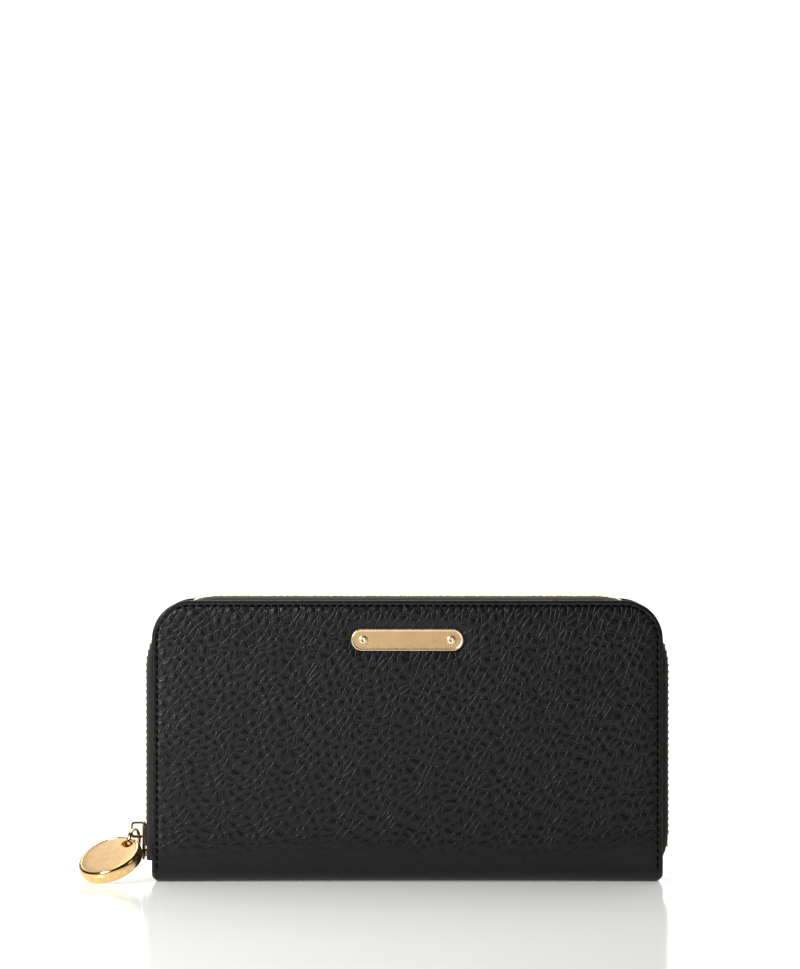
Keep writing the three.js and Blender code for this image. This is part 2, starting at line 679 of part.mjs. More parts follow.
function coinLeaf() {
  const wallShape = () => rectangle(-COIN_HALF_WIDTH, COIN_HALF_WIDTH, COIN_FOOT, COIN_TOP);
  const rim = 0.8;
  const edge = new THREE.Shape();
  edge.moveTo(-COIN_HALF_WIDTH, COIN_FOOT);
  edge.lineTo(COIN_HALF_WIDTH, COIN_FOOT);
  edge.lineTo(COIN_HALF_WIDTH, COIN_TOP - 2);
  edge.lineTo(COIN_HALF_WIDTH - rim, COIN_TOP - 2);
  edge.lineTo(COIN_HALF_WIDTH - rim, COIN_FOOT + rim);
  edge.lineTo(rim - COIN_HALF_WIDTH, COIN_FOOT + rim);
  edge.lineTo(rim - COIN_HALF_WIDTH, COIN_TOP - 2);
  edge.lineTo(-COIN_HALF_WIDTH, COIN_TOP - 2);
  const tapes = ['front', 'back'].map((side) => {
    const shape = rectangle(COIN_TAPE_INSET - COIN_HALF_WIDTH, COIN_HALF_WIDTH - COIN_TAPE_INSET,
      COIN_TOP - COIN_TAPE_TUCK, COIN_CHAIN_LOW - COIN_TAPE_GAP);
    return mesh(`coin_zip_tape_${side}`, 'tape', layer(side, shape, COIN_TAPE_IN, COIN_TAPE_OUT));
  });
  return [
    mesh('coin_wall_front', 'lining', layer('front', wallShape(), COIN_HOLLOW, COIN_HOLLOW + COIN_WALL)),
    mesh('coin_wall_back', 'lining', layer('back', wallShape(), COIN_HOLLOW, COIN_HOLLOW + COIN_WALL)),
    mesh('coin_edge', 'lining', panel(edge, SHEET_GAP - COIN_HOLLOW, COIN_HOLLOW - SHEET_GAP)),
    ...tapes,
    mesh('coin_zip_chain', 'brass', box([-COIN_CHAIN_REACH, -COIN_CHAIN_HALF, COIN_CHAIN_LOW],
      [COIN_CHAIN_REACH, COIN_CHAIN_HALF, COIN_CHAIN_HIGH])),
  ];
}

// The coin zip's slider wraps the chain from above, with a slot below for the tapes.
function coinSlider() {
  const low = COIN_SLIDER_X - COIN_SLIDER_LENGTH / 2;
  const high = COIN_SLIDER_X + COIN_SLIDER_LENGTH / 2;
  const top = COIN_CHAIN_HIGH + COIN_CAP_LIFT;
  const wraps = [-1, 1].flatMap((sign) => {
    const wall = [sign * COIN_WRAP_IN, sign * COIN_CAP_HALF].sort((a, b) => a - b);
    const lip = [sign * COIN_LIP_IN, sign * COIN_CAP_HALF].sort((a, b) => a - b);
    return [
      box([low, wall[0], COIN_WRAP_LOW], [high, wall[1], top + PLATE_LIP]),
      box([low, lip[0], COIN_LIP_LOW], [high, lip[1], COIN_LIP_HIGH]),
    ];
  });
  const lugs = [-1, 1].map((sign) => {
    const ys = [sign * COIN_LUG_IN, sign * COIN_LUG_OUT].sort((a, b) => a - b);
    return box([COIN_SLIDER_X - 1, ys[0], top + COIN_LUG_FOOT],
      [COIN_SLIDER_X + 1, ys[1], top + COIN_LUG_TOP]);
  });
  const cap = box([low, -COIN_CAP_HALF, top], [high, COIN_CAP_HALF, top + COIN_CAP_THICK]);
  return mesh('coin_slider', 'brass', union(cap, ...wraps, ...lugs));
}

// The pull's eye turns between the coin slider's lugs.
function coinPull() {
  const z = COIN_CHAIN_HIGH + 2;
  const start = COIN_SLIDER_X - COIN_PULL_BACK;
  return mesh('coin_pull', 'brass', union(
    box([start, -1, z - COIN_EYE_HALF], [start + COIN_EYE_LENGTH, 1, z + COIN_EYE_HALF]),
    box([start + COIN_TAB_START, -COIN_TAB_HALF_WIDTH, z - COIN_TAB_HALF_THICK],
      [start + COIN_PULL_LENGTH, COIN_TAB_HALF_WIDTH, z + COIN_TAB_HALF_THICK]),
  ));
}

// --- the wallet ----------------------------------------------------------------------------

const backHalf = group(
  ...coverHalf('back'),
  ...spine(),
  gusset('left', 'back'),
  gusset('right', 'back'),
  zipTape('back'),
  zipTeeth('back'),
  topStop('back'),
  bottomStop(),
  endTab('left'),
  endTab('right'),
);

const frontHalf = group(
  ...coverHalf('front'),
  frontFold(),
  gusset('left', 'front'),
  gusset('right', 'front'),
  nameplate(),
  rivet('plate_rivet_left', rivetXs[0]),
  rivet('plate_rivet_right', rivetXs[1]),
  burr('rivet_burr_left', rivetXs[0]),
  burr('rivet_burr_right', rivetXs[1]),
  zipTape('front'),
  zipTeeth('front'),
  topStop('front'),
);

export default group(
  backHalf,
  frontHalf,
  group(sliderBody(), pullRing(), fob()),
  group(...coinLeaf(), coinSlider(), coinPull()),
);
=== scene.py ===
"""The looks of a zip around wallet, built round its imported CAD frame. Blender 4.5, metres."""

import json
import math

import bmesh
import bpy
import numpy as np
from mathutils import Matrix, Vector


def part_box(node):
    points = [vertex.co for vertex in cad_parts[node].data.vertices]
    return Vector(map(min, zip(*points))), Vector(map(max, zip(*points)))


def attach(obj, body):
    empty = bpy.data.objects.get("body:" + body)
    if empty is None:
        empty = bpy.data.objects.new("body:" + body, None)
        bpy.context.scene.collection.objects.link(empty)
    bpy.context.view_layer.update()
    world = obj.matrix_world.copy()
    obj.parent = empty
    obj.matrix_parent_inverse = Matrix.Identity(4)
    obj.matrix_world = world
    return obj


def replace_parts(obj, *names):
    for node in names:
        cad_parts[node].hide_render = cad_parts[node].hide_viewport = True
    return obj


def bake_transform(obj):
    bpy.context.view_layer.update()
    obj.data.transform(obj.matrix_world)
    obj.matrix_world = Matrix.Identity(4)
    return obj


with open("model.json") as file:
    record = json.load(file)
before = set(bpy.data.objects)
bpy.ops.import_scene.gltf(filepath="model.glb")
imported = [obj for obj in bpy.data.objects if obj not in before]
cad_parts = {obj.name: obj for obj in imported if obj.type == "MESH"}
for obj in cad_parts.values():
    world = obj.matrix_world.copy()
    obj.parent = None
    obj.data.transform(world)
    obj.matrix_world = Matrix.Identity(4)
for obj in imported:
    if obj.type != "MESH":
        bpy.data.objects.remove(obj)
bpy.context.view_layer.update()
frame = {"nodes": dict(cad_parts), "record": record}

MM = 0.001
joints = {j["name"]: j for j in frame["record"]["behaviour"]["joints"]}


def node_box(*nodes):
    """Lowest and highest corners over some CAD nodes, in millimetres."""
    boxes = np.array([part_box(n) for n in nodes], float) / MM
    return boxes[:, 0].min(0), boxes[:, 1].max(0)


# --- sizes, from the frame -----------------------------------------------------------------

cover_high = node_box("front_leather", "front_fold", "spine_leather", "back_leather")[1]
SIDE = cover_high[0]
TOP = cover_high[2]
HALF_DEPTH = cover_high[1]
CORNER = 14.75
FOLD = node_box("front_fold")[1][2]
SPINE = HALF_DEPTH - 4.0
LEATHER = 1.2
FOOT_CORNER = 2.7
plate_low, plate_high = node_box("name_plate")
PLATE_MIDDLE = (plate_low + plate_high) / 2
PLATE_SIZE = plate_high - plate_low

# --- materials -----------------------------------------------------------------------------


def socket_name(key):
    return key.replace("_", " ").title().replace("Ior", "IOR")


class Nodes:
    """A short way to wire a material's node tree."""

    def __init__(self, name):
        self.material = bpy.data.materials.new(name)
        self.material.use_nodes = True
        self.tree = self.material.node_tree
        self.shader = self.tree.nodes["Principled BSDF"]
        self.place = self.add("ShaderNodeTexCoord").outputs["Object"]

    def add(self, kind, **values):
        node = self.tree.nodes.new(kind)
        for key, value in values.items():
            if hasattr(node, key):
                setattr(node, key, value)
            else:
                node.inputs[socket_name(key)].default_value = value
        return node

    def link(self, source, target):
        self.tree.links.new(source, target)

    def set(self, **values):
        for key, value in values.items():
            self.shader.inputs[socket_name(key)].default_value = value

    def noise(self, scale, detail=3.0, stretch=(1, 1, 1)):
        mapping = self.add("ShaderNodeMapping")
        mapping.inputs["Scale"].default_value = stretch
        self.link(self.place, mapping.inputs["Vector"])
        node = self.add("ShaderNodeTexNoise", scale=scale, detail=detail)
        self.link(mapping.outputs["Vector"], node.inputs["Vector"])
        return node.outputs["Fac"]

    def voronoi(self, scale, feature="DISTANCE_TO_EDGE"):
        node = self.add("ShaderNodeTexVoronoi", feature=feature, scale=scale)
        self.link(self.place, node.inputs["Vector"])
        return node.outputs["Distance"]

    def wave(self, scale, direction, distortion=0.6):
        node = self.add("ShaderNodeTexWave", bands_direction=direction, scale=scale, distortion=distortion)
        self.link(self.place, node.inputs["Vector"])
        return node.outputs["Fac"]

    def spread(self, source, low, high, start=0.0, end=1.0):
        node = self.add("ShaderNodeMapRange")
        for key, value in zip(("From Min", "From Max", "To Min", "To Max"), (start, end, low, high)):
            node.inputs[key].default_value = value
        self.link(source, node.inputs["Value"])
        return node.outputs["Result"]

    def ramp(self, source, *stops):
        node = self.add("ShaderNodeValToRGB")
        while len(node.color_ramp.elements) < len(stops):
            node.color_ramp.elements.new(0.5)
        for element, (position, colour) in zip(node.color_ramp.elements, stops):
            element.position = position
            element.color = (*colour, 1)
        self.link(source, node.inputs["Fac"])
        return node.outputs["Color"]

    def mul(self, a, b):
        node = self.add("ShaderNodeMath", operation="MULTIPLY")
        self.link(a, node.inputs[0])
        self.link(b, node.inputs[1])
        return node.outputs[0]

    def bump(self, height, distance, strength=1.0, under=None):
        node = self.add("ShaderNodeBump", distance=distance, strength=strength)
        self.link(height, node.inputs["Height"])
        if under is not None:
            self.link(under, node.inputs["Normal"])
        return node.outputs["Normal"]

    def finish(self, colour=None, roughness=None, normal=None):
        for source, socket in ((colour, "Base Color"), (roughness, "Roughness"), (normal, "Normal")):
            if source is not None:
                self.link(source, self.shader.inputs[socket])
        return self.material


def grained_leather(name, dark, light, pores=1500.0):
    """Pebbled leather. Its cells come from the mesh's hide coordinates, as the mesh's pebbles do."""
    n = Nodes(name)
    hide = n.add("ShaderNodeAttribute", attribute_name="hide").outputs["Vector"]
    strength = n.add("ShaderNodeAttribute", attribute_name="strength").outputs["Fac"]
    # Painted shade carried by the mesh: darker in the seam groove and where the edge turns in under the
    # lining.
    painted_shade = n.add("ShaderNodeAttribute", attribute_name="painted_shade").outputs["Fac"]
    cells = n.add("ShaderNodeTexVoronoi", feature="DISTANCE_TO_EDGE", voronoi_dimensions="2D", scale=1.0)
    n.link(hide, cells.inputs["Vector"])
    small = n.add("ShaderNodeTexVoronoi", feature="DISTANCE_TO_EDGE", voronoi_dimensions="2D", scale=2.3)
    n.link(hide, small.inputs["Vector"])
    crease = n.mul(n.spread(cells.outputs["Distance"], 1.0, 0.0, 0.0, 0.11), strength)
    wrinkle = n.mul(n.spread(small.outputs["Distance"], 1.0, 0.0, 0.0, 0.10), strength)
    # Painted shade: the colour darkens in the creases between the cells, and by the mesh attribute of painted
    # shade; the noise adds a random mottle.
    shade = n.mul(n.mul(n.spread(crease, 1.0, 0.3), n.spread(n.noise(60.0), 0.8, 1.15)), painted_shade)
    colour = n.ramp(shade, (0.2, dark), (1.0, light))
    roughness = n.spread(crease, 0.36, 0.6)
    creased = n.bump(n.spread(crease, 1.0, 0.0), 0.00016, 0.8)
    wrinkled = n.bump(n.spread(wrinkle, 1.0, 0.0), 0.00003, 0.3, creased)
    pore = n.bump(n.voronoi(pores, "F1"), 0.00004, 0.4, wrinkled)
    fine = n.bump(n.noise(900.0, 4.0), 0.00008, 0.5, pore)
    n.set(specular_ior_level=0.34)
    return n.finish(colour, roughness, fine)


def smooth_leather(name, dark, light, cell=420.0):
    n = Nodes(name)
    cells = n.voronoi(cell)
    colour = n.ramp(n.noise(90.0), (0.3, dark), (0.75, light))
    creases = n.bump(n.spread(cells, 0.0, 1.0, 0.0, 0.25), 0.00008, 0.7)
    fine = n.bump(n.noise(1400.0, 3.0), 0.00006, 0.5, creases)
    return n.finish(colour, n.spread(n.noise(200.0), 0.42, 0.6), fine)


def woven(name, dark, light, threads=1500.0, sheen=0.15, shine=0.5):
    n = Nodes(name)
    warp = n.wave(threads, "X")
    weft = n.wave(threads, "Z")
    depth = n.wave(threads, "Y")
    weave = n.mul(n.mul(n.spread(warp, 0.3, 1), n.spread(weft, 0.3, 1)), n.spread(depth, 0.5, 1))
    n.set(sheen_weight=sheen, sheen_roughness=0.5, specular_ior_level=shine)
    colour = n.ramp(n.mul(weave, n.spread(n.noise(300.0), 0.7, 1.2)), (0.1, dark), (0.9, light))
    return n.finish(colour, n.spread(weave, 0.95, 0.75), n.bump(weave, 0.0001, 0.8))


def metal(name, dark, light, rough, brushed=0.0, tarnish=0.0):
    """Plated metal. brushed gives it a fine satin drag; tarnish darkens it in patches."""
    n = Nodes(name)
    n.set(metallic=1.0)
    patch = n.noise(420.0, 3.0)
    colour = n.ramp(patch, (0.35 - 0.3 * tarnish, dark), (0.65, light))
    drag = n.noise(500.0, 5.0, (1.0, 1.0, 14.0))
    roughness = n.spread(n.mul(drag, n.spread(patch, 0.9, 1.1)), rough * 0.8, rough * 1.35)
    normal = n.bump(drag, 0.00002 + 0.00005 * brushed, 0.15 + 0.5 * brushed)
    return n.finish(colour, roughness, normal)


def card(name):
    n = Nodes(name)
    fibres = n.noise(700.0, 5.0, (1, 1, 4))
    colour = n.ramp(fibres, (0.3, (0.22, 0.19, 0.15)), (0.7, (0.34, 0.31, 0.26)))
    return n.finish(colour, n.spread(fibres, 0.8, 0.95), n.bump(fibres, 0.00008))


OUTER = grained_leather("pebbled_leather", (0.0004, 0.0004, 0.00045), (0.0042, 0.0042, 0.0045))
INNER = smooth_leather("smooth_leather", (0.010, 0.010, 0.0105), (0.020, 0.020, 0.021))
LINING = woven("lining_cloth", (0.006, 0.006, 0.006), (0.022, 0.021, 0.020), 2200.0)
TAPE = woven("zip_tape_cloth", (0.003, 0.003, 0.003), (0.014, 0.014, 0.014), 1300.0, 0.05)
THREAD = woven("stitch_thread", (0.0002, 0.0002, 0.0002), (0.0012, 0.0012, 0.0012), 2600.0, 0.0, 0.05)
TEETH = metal("zip_brass", (0.45, 0.30, 0.12), (0.86, 0.63, 0.32), 0.24)
# A brass whose very dark colour is partly an antique finish and partly painted shade and dark reflection.
ANTIQUE_AND_SHADE = metal("antique_brass", (0.035, 0.024, 0.012), (0.26, 0.18, 0.085), 0.3, 0.2, 0.4)
FOB_SATIN = metal("fob_satin", (0.69, 0.465, 0.225), (0.76, 0.525, 0.275), 0.36, 0.6)
SATIN = metal("satin_gold", (0.92, 0.62, 0.32), (0.96, 0.655, 0.345), 0.42, 0.6)
POLISHED = metal("polished_gold", (0.86, 0.55, 0.22), (0.96, 0.68, 0.34), 0.12)
# A paler gold than the plate's field: a painted highlight on the nameplate's rim and rivet domes.
RIM_HIGHLIGHT = metal("rim_gold_painted_highlight", (0.95, 0.74, 0.48), (1.0, 0.86, 0.64), 0.3)
BOARD = card("pressed_board")

# --- mesh helpers, in millimetres ----------------------------------------------------------


def make(name, verts, faces, material, body=None, smooth=True, slot=None, attributes=None):
    """A mesh piece from points in millimetres. It rides on its body, if one is given."""
    data = bpy.data.meshes.new(name)
    data.from_pydata((np.asarray(verts, float) * MM).tolist(), [], [list(map(int, f)) for f in faces])
    for key, values in (attributes or {}).items():
        flat = np.ndim(values) == 1
        layer = data.attributes.new(key, "FLOAT" if flat else "FLOAT_VECTOR", "POINT")
        layer.data.foreach_set("value" if flat else "vector", np.asarray(values, np.float32).ravel())
    materials = material if isinstance(material, (list, tuple)) else [material]
    for one in materials:
        data.materials.append(one)
    data.polygons.foreach_set("use_smooth", [smooth] * len(data.polygons))
    data.update()
    piece = bpy.data.objects.new(name, data)
    bpy.context.scene.collection.objects.link(piece)
    if body:
        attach(piece, body)
    return piece


def grid_faces(rows, cols, close_cols=False, close_rows=False):
    index = np.arange(rows * cols).reshape(rows, cols)
    if close_cols:
        index = np.hstack([index, index[:, :1]])
    if close_rows:
        index = np.vstack([index, index[:1]])
    a, b = index[:-1, :-1], index[:-1, 1:]
    c, d = index[1:, 1:], index[1:, :-1]
    return np.stack([a, b, c, d], -1).reshape(-1, 4)


def outward(piece):
    """Merges a closed piece's doubled points and turns its faces outwards."""
    mesh = bmesh.new()
    mesh.from_mesh(piece.data)
    bmesh.ops.remove_doubles(mesh, verts=mesh.verts, dist=1e-7)
    bmesh.ops.recalc_face_normals(mesh, faces=mesh.faces)
    mesh.to_mesh(piece.data)
    mesh.free()
    return piece


def modify(piece, kind, **values):
    modifier = piece.modifiers.new(kind.lower(), kind)
    for key, value in values.items():
        setattr(modifier, key, value)
    return piece


def bevel(piece, width, segments=2, angle=0.6):
    return modify(piece, "BEVEL", width=width * MM, segments=segments, limit_method="ANGLE",
                  angle_limit=angle, harden_normals=True)


def thicken(points, thickness):
    """Closes a grid of points, rows by columns by 3, into a sheet of even thickness."""
    along = np.gradient(points, axis=0)
    across = np.gradient(points, axis=1)
    normal = np.cross(along, across)
    normal /= np.linalg.norm(normal, axis=-1, keepdims=True)
    loop = np.concatenate([points + normal * thickness / 2, (points - normal * thickness / 2)[:, ::-1]], 1)
    rows, cols = loop.shape[:2]
    half = points.shape[1]
    faces = [*grid_faces(rows, cols, close_cols=True)]
    for row, flip in ((0, 1), (rows - 1, -1)):
        base = row * cols
        for i in range(half - 1):
            faces.append([base + i, base + cols - 1 - i, base + cols - 2 - i, base + i + 1][::flip])
    return loop.reshape(-1, 3), faces


def drum_faces(count):
    """Two end faces and a wall between two loops of count points, one after the other."""
    ends = [list(range(count)), list(range(2 * count - 1, count - 1, -1))]
    return ends + [[i, (i + 1) % count, (i + 1) % count + count, i + count] for i in range(count)]


def prism(name, outline, low, high, axes, material, body, width=0.12, slot=None):
    """An outline in two axes, extruded along the third from low to high, with bevelled edges."""
    outline = np.asarray(outline, float)
    count = len(outline)
    verts = np.zeros((2 * count, 3))
    for level, value in ((0, low), (1, high)):
        part = verts[level * count:(level + 1) * count]
        part[:, axes[0]] = outline[:, 0]
        part[:, axes[1]] = outline[:, 1]
        part[:, 3 - axes[0] - axes[1]] = value
    piece = outward(make(name, verts, drum_faces(count), material, body, slot=slot))
    return bevel(piece, width, 3)


def turned(name, profile, segments, matrix, material, body, slot=None):
    """A closed profile of (radius, height) turned about a matrix's Z axis. It may touch the axis."""
    profile = np.asarray(profile, float)
    angle = np.linspace(0, 2 * math.pi, segments, endpoint=False)
    ring = np.stack([np.cos(angle), np.sin(angle)], -1)
    heights = np.repeat(profile[:, None, 1:], segments, 1)
    verts = np.concatenate([profile[:, None, :1] * ring[None], heights], -1)
    closed = profile[0][0] > 1e-9
    faces = grid_faces(len(profile), segments, close_cols=True, close_rows=closed)
    flat = verts.reshape(-1, 3) @ np.array(matrix.to_3x3()).T + np.array(matrix.translation)
    return outward(make(name, flat, faces, material, body, slot=slot))


def smoothstep(x, low, high):
    t = np.clip((x - low) / (high - low), 0, 1)
    return t * t * (3 - 2 * t)


def stadium_outline(length, height, x, z, steps=14):
    radius = height / 2
    reach = length / 2 - radius
    turn = np.linspace(-math.pi / 2, math.pi / 2, steps)
    right = np.stack([x + reach + radius * np.cos(turn), z + radius * np.sin(turn)], -1)
    left = np.stack([x - reach - radius * np.cos(turn), z - radius * np.sin(turn)], -1)
    return np.vstack([right, left])


# --- outer leather -------------------------------------------------------------------------

HIDE_COLUMNS = 303
FOOT_ARCH = 0.35
GRAIN_HEIGHT = 0.44
CELL_LONG = 4.4
CELL_WIDE = 2.6
EDGE_ROUND = 0.55
SEAM = 2.0
SEAM_GROOVE = 0.34
PILLOW = 0.6


def edge_distance(x, z):
    """Distance inside the cover's outline: the sides, the top and its round corners."""
    across = np.abs(x) - (SIDE - CORNER)
    above = z - (TOP - CORNER)
    corner = CORNER - np.hypot(np.maximum(across, 0), np.maximum(above, 0))
    straight = np.minimum(SIDE - np.abs(x), TOP - z)
    return np.where((across > 0) & (above > 0), corner, straight)


def hide_coordinates(u, v):
    """Cell coordinates on the unrolled leather. The cells stretch along a slowly turning lean."""
    lean = 1.04 + 0.0025 * u
    along = u * np.cos(lean) + v * np.sin(lean) + 0.6 * np.sin(v * 0.35 + 0.6 * np.sin(u * 0.3))
    across = v * np.cos(lean) - u * np.sin(lean) + 0.5 * np.sin(u * 0.4 + 0.7 * np.sin(v * 0.28))
    return np.stack([along / CELL_LONG, across / CELL_WIDE, np.zeros_like(along)], -1)


def cell_distance(places):
    """Each place's distance to the nearest cell edge, from the texture that the material uses."""
    shape = places.shape[:-1]
    data = bpy.data.meshes.new("places")
    data.from_pydata(places.reshape(-1, 3).tolist(), [], [])
    probe = bpy.data.objects.new("places", data)
    bpy.context.scene.collection.objects.link(probe)
    tree = bpy.data.node_groups.new("cell_distance", "GeometryNodeTree")
    tree.interface.new_socket("Geometry", in_out="INPUT", socket_type="NodeSocketGeometry")
    tree.interface.new_socket("Geometry", in_out="OUTPUT", socket_type="NodeSocketGeometry")
    entry, leave = tree.nodes.new("NodeGroupInput"), tree.nodes.new("NodeGroupOutput")
    cells = tree.nodes.new("ShaderNodeTexVoronoi")
    cells.feature, cells.voronoi_dimensions = "DISTANCE_TO_EDGE", "2D"
    cells.inputs["Scale"].default_value = 1.0
    store = tree.nodes.new("GeometryNodeStoreNamedAttribute")
    store.inputs["Name"].default_value = "distance"
    place = tree.nodes.new("GeometryNodeInputPosition")
    tree.links.new(entry.outputs[0], store.inputs["Geometry"])
    tree.links.new(place.outputs[0], cells.inputs["Vector"])
    tree.links.new(cells.outputs["Distance"], store.inputs["Value"])
    tree.links.new(store.outputs["Geometry"], leave.inputs[0])
    modify(probe, "NODES", node_group=tree)
    bpy.context.view_layer.update()
    result = probe.evaluated_get(bpy.context.evaluated_depsgraph_get()).data.attributes["distance"]
    distance = np.zeros(len(data.vertices), np.float32)
    result.data.foreach_get("value", distance)
    bpy.data.objects.remove(probe)
    bpy.data.node_groups.remove(tree)
    return distance.reshape(shape).astype(float)


def skin_rows():
    """The leather's run from the front's top, down and round the spine, up to the back's top.
    Each row has its height, depth, and the surface's outward direction in the YZ plane."""
    rows = []
    corner_turn = np.linspace(math.pi / 2, 0, 26)
    corner = TOP - CORNER + CORNER * np.sin(corner_turn)
    flat = np.linspace(TOP - CORNER, FOLD, 158)[1:]
    for z in [*corner, *flat]:
        rows.append((z, -HALF_DEPTH, -1.0, 0.0))
    radius = HALF_DEPTH - SPINE
    for turn in np.linspace(0, math.pi / 2, 10)[1:]:
        rows.append((FOLD - radius * math.sin(turn), -SPINE - radius * math.cos(turn), -math.cos(turn),
                     -math.sin(turn)))
    for y in np.linspace(-SPINE, SPINE, 12)[1:]:
        rows.append((0.0, y, 0.0, -1.0))
    for turn in np.linspace(math.pi / 2, 0, 10)[1:]:
        rows.append((FOLD - radius * math.sin(turn), SPINE + radius * math.cos(turn), math.cos(turn),
                     -math.sin(turn)))
    for z in [*np.linspace(FOLD, TOP - CORNER, 76)[1:], *corner[::-1][1:]]:
        rows.append((z, HALF_DEPTH, 1.0, 0.0))
    return np.array(rows)


def hide_pebbles(x, run):
    """The hide's cell coordinates, and how far each point stands up on its pebble."""
    level = np.where(run > run.max() / 2, run - run.max(), -run) + TOP / 2
    hide = hide_coordinates(x, np.broadcast_to(level, x.shape))
    distance = cell_distance(hide)
    return hide, 0.5 * smoothstep(distance, 0.0, 0.2) + 0.5 * smoothstep(distance, 0.0, 0.55)


def pebble_strength(x, z, run, inside):
    """The grain fades at the edges and over the foot, and varies in soft clouds."""
    wander = np.sin(x * 0.11 + 1.3 * np.sin(run * 0.09)) * np.cos(run * 0.13 + 0.8 * np.sin(x * 0.07))
    cloud = 0.5 + 0.5 * wander
    smooth_foot = 0.16 + 0.84 * smoothstep(z + 2.5 * np.sin(x * 0.05), 8.0, 20.0)
    near_edge = 0.35 + 0.65 * smoothstep(inside, 1.6, 3.6)
    return smooth_foot * near_edge * (0.85 + 0.3 * cloud)


def padding(x, z, ny):
    """The padded swell inside the seam, and where the nameplate presses it flat."""
    clear = np.minimum(SIDE - np.abs(x), TOP - z)
    top_clear = 0.55 * smoothstep(clear, 2.1, 4.2) + 0.45 * smoothstep(clear, 2.4, 10.0)
    pillow = PILLOW * top_clear * smoothstep(z, 3.0, 16.0) * np.abs(ny)
    along = np.maximum(np.abs(x - PLATE_MIDDLE[0]) - (PLATE_SIZE[0] - PLATE_SIZE[2]) / 2, 0)
    from_plate = np.hypot(along, z - PLATE_MIDDLE[2]) - PLATE_SIZE[2] / 2
    pressed = (1 - smoothstep(from_plate, 0.1, 4.0)) * (ny < -0.5)
    return pillow, pressed


def turned_edge(shape, points, reference, normal):
    """Rings that carry the hide's border round its edge and in under the lining."""
    index = np.arange(len(reference)).reshape(shape)
    border = np.concatenate([index[0, :-1], index[:-1, -1], index[-1, :0:-1], index[:0:-1, 0]])
    edge, facing = reference[border], normal[border]
    beyond = np.maximum(np.abs(edge[:, 0]) - (SIDE - CORNER), 0) * np.sign(edge[:, 0])
    above = np.maximum(edge[:, 2] - (TOP - CORNER), 0)
    out = np.stack([beyond, np.zeros_like(above), above], -1)
    out /= np.maximum(np.linalg.norm(out, axis=1, keepdims=True), 1e-9)
    rings = [(0.15, 0.92), (0.45, 1.1), (1.0, LEATHER - 0.05), (6.8, LEATHER - 0.02)]
    wrapped = [edge - out * d - facing * b for d, b in rings]
    count = len(border)
    loops = np.vstack([border, *[len(reference) + k * count + np.arange(count) for k in range(len(rings))]])
    loops = np.hstack([loops, loops[:, :1]])
    faces = np.stack([loops[:-1, :-1], loops[1:, :-1], loops[1:, 1:], loops[:-1, 1:]], -1).reshape(-1, 4)
    return border, len(rings), np.vstack([points.reshape(-1, 3), *wrapped]), faces


def outer_leather():
    """One hide wraps the front, the spine and the back, its edges turned in under the lining."""
    rows = skin_rows()
    z, y, ny, nz = (rows[:, i:i + 1] for i in range(4))
    rise = np.maximum(z - (TOP - CORNER), 0)
    half = SIDE - CORNER + np.sqrt(np.maximum(CORNER ** 2 - rise ** 2, 0))
    low = np.maximum(FOOT_CORNER - z, 0)
    half = half - (FOOT_CORNER - np.sqrt(np.maximum(FOOT_CORNER ** 2 - low ** 2, 0)))
    x = half * np.linspace(-1, 1, HIDE_COLUMNS)
    y, z, ny, nz = (np.broadcast_to(part, x.shape) for part in (y, z, ny, nz))
    run = np.concatenate([[0], np.cumsum(np.hypot(np.diff(rows[:, 0]), np.diff(rows[:, 1])))])[:, None]
    inside = edge_distance(x, z)
    hide, grain = hide_pebbles(x, run)
    strength = pebble_strength(x, z, run, inside)
    pillow, pressed = padding(x, z, ny)
    groove = np.exp(-((inside - SEAM) / 0.42) ** 2) * smoothstep(z, 2.5, 5.5)
    lift = (pillow - 0.05) * (1 - pressed) - 0.08 * pressed - SEAM_GROOVE * groove
    lift = lift + GRAIN_HEIGHT * (grain - 0.75) * strength * (1 - 0.75 * pressed)
    rounding = np.maximum(EDGE_ROUND - inside, 0)
    lift = lift - (EDGE_ROUND - np.sqrt(np.maximum(EDGE_ROUND ** 2 - rounding ** 2, 0)))
    side_in = np.maximum(EDGE_ROUND - (half - np.abs(x)), 0)
    lift = np.where(z < FOLD, lift - (EDGE_ROUND - np.sqrt(EDGE_ROUND ** 2 - side_in ** 2)), lift)
    points = np.stack([x, y + ny * lift, z + nz * lift], -1)
    foot_arch = FOOT_ARCH * (1 - (x / SIDE) ** 2) * (1 - smoothstep(z, 0.0, 6.0))
    points[..., 2] = np.maximum(points[..., 2], 0.0) + foot_arch

    reference = np.stack([x, y, z], -1).reshape(-1, 3)
    normal = np.stack([np.zeros_like(x), ny, nz], -1).reshape(-1, 3)
    border, rings, verts, turn_in = turned_edge(x.shape, points, reference, normal)
    turned_in = rings * len(border)
    hide = hide.reshape(-1, 3)
    attributes = {
        # Painted shade: the colour is darkened in the seam groove, and by a fifth where the edge turns in
        # under the lining.
        "painted_shade": np.concatenate([np.clip(1 - 0.3 * groove, 0, 1).ravel(), np.full(turned_in, 0.8)]),
        "strength": np.concatenate([np.clip(strength, 0, 1).ravel(), np.full(turned_in, 0.2)]),
        "hide": np.vstack([hide, *[hide[border]] * rings]),
    }
    faces = np.vstack([grid_faces(*x.shape), turn_in])
    piece = make("outer_leather", verts, faces, OUTER, slot="outer_leather", attributes=attributes)
    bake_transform(piece)
    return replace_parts(piece, "front_leather", "front_fold", "spine_leather", "back_leather")


# --- stitching -----------------------------------------------------------------------------


def seam_path(inset, foot):
    """The seam's route up the left side, over the top and down the right."""
    side, top, corner = SIDE - inset, TOP - inset, CORNER - inset
    turn = np.linspace(0, math.pi / 2, 24)
    right = np.stack([side - corner + corner * np.cos(turn), top - corner + corner * np.sin(turn)], -1)
    left = right * [-1, 1]
    return np.vstack([[[-side, foot]], left, right[::-1], [[side, foot]]])


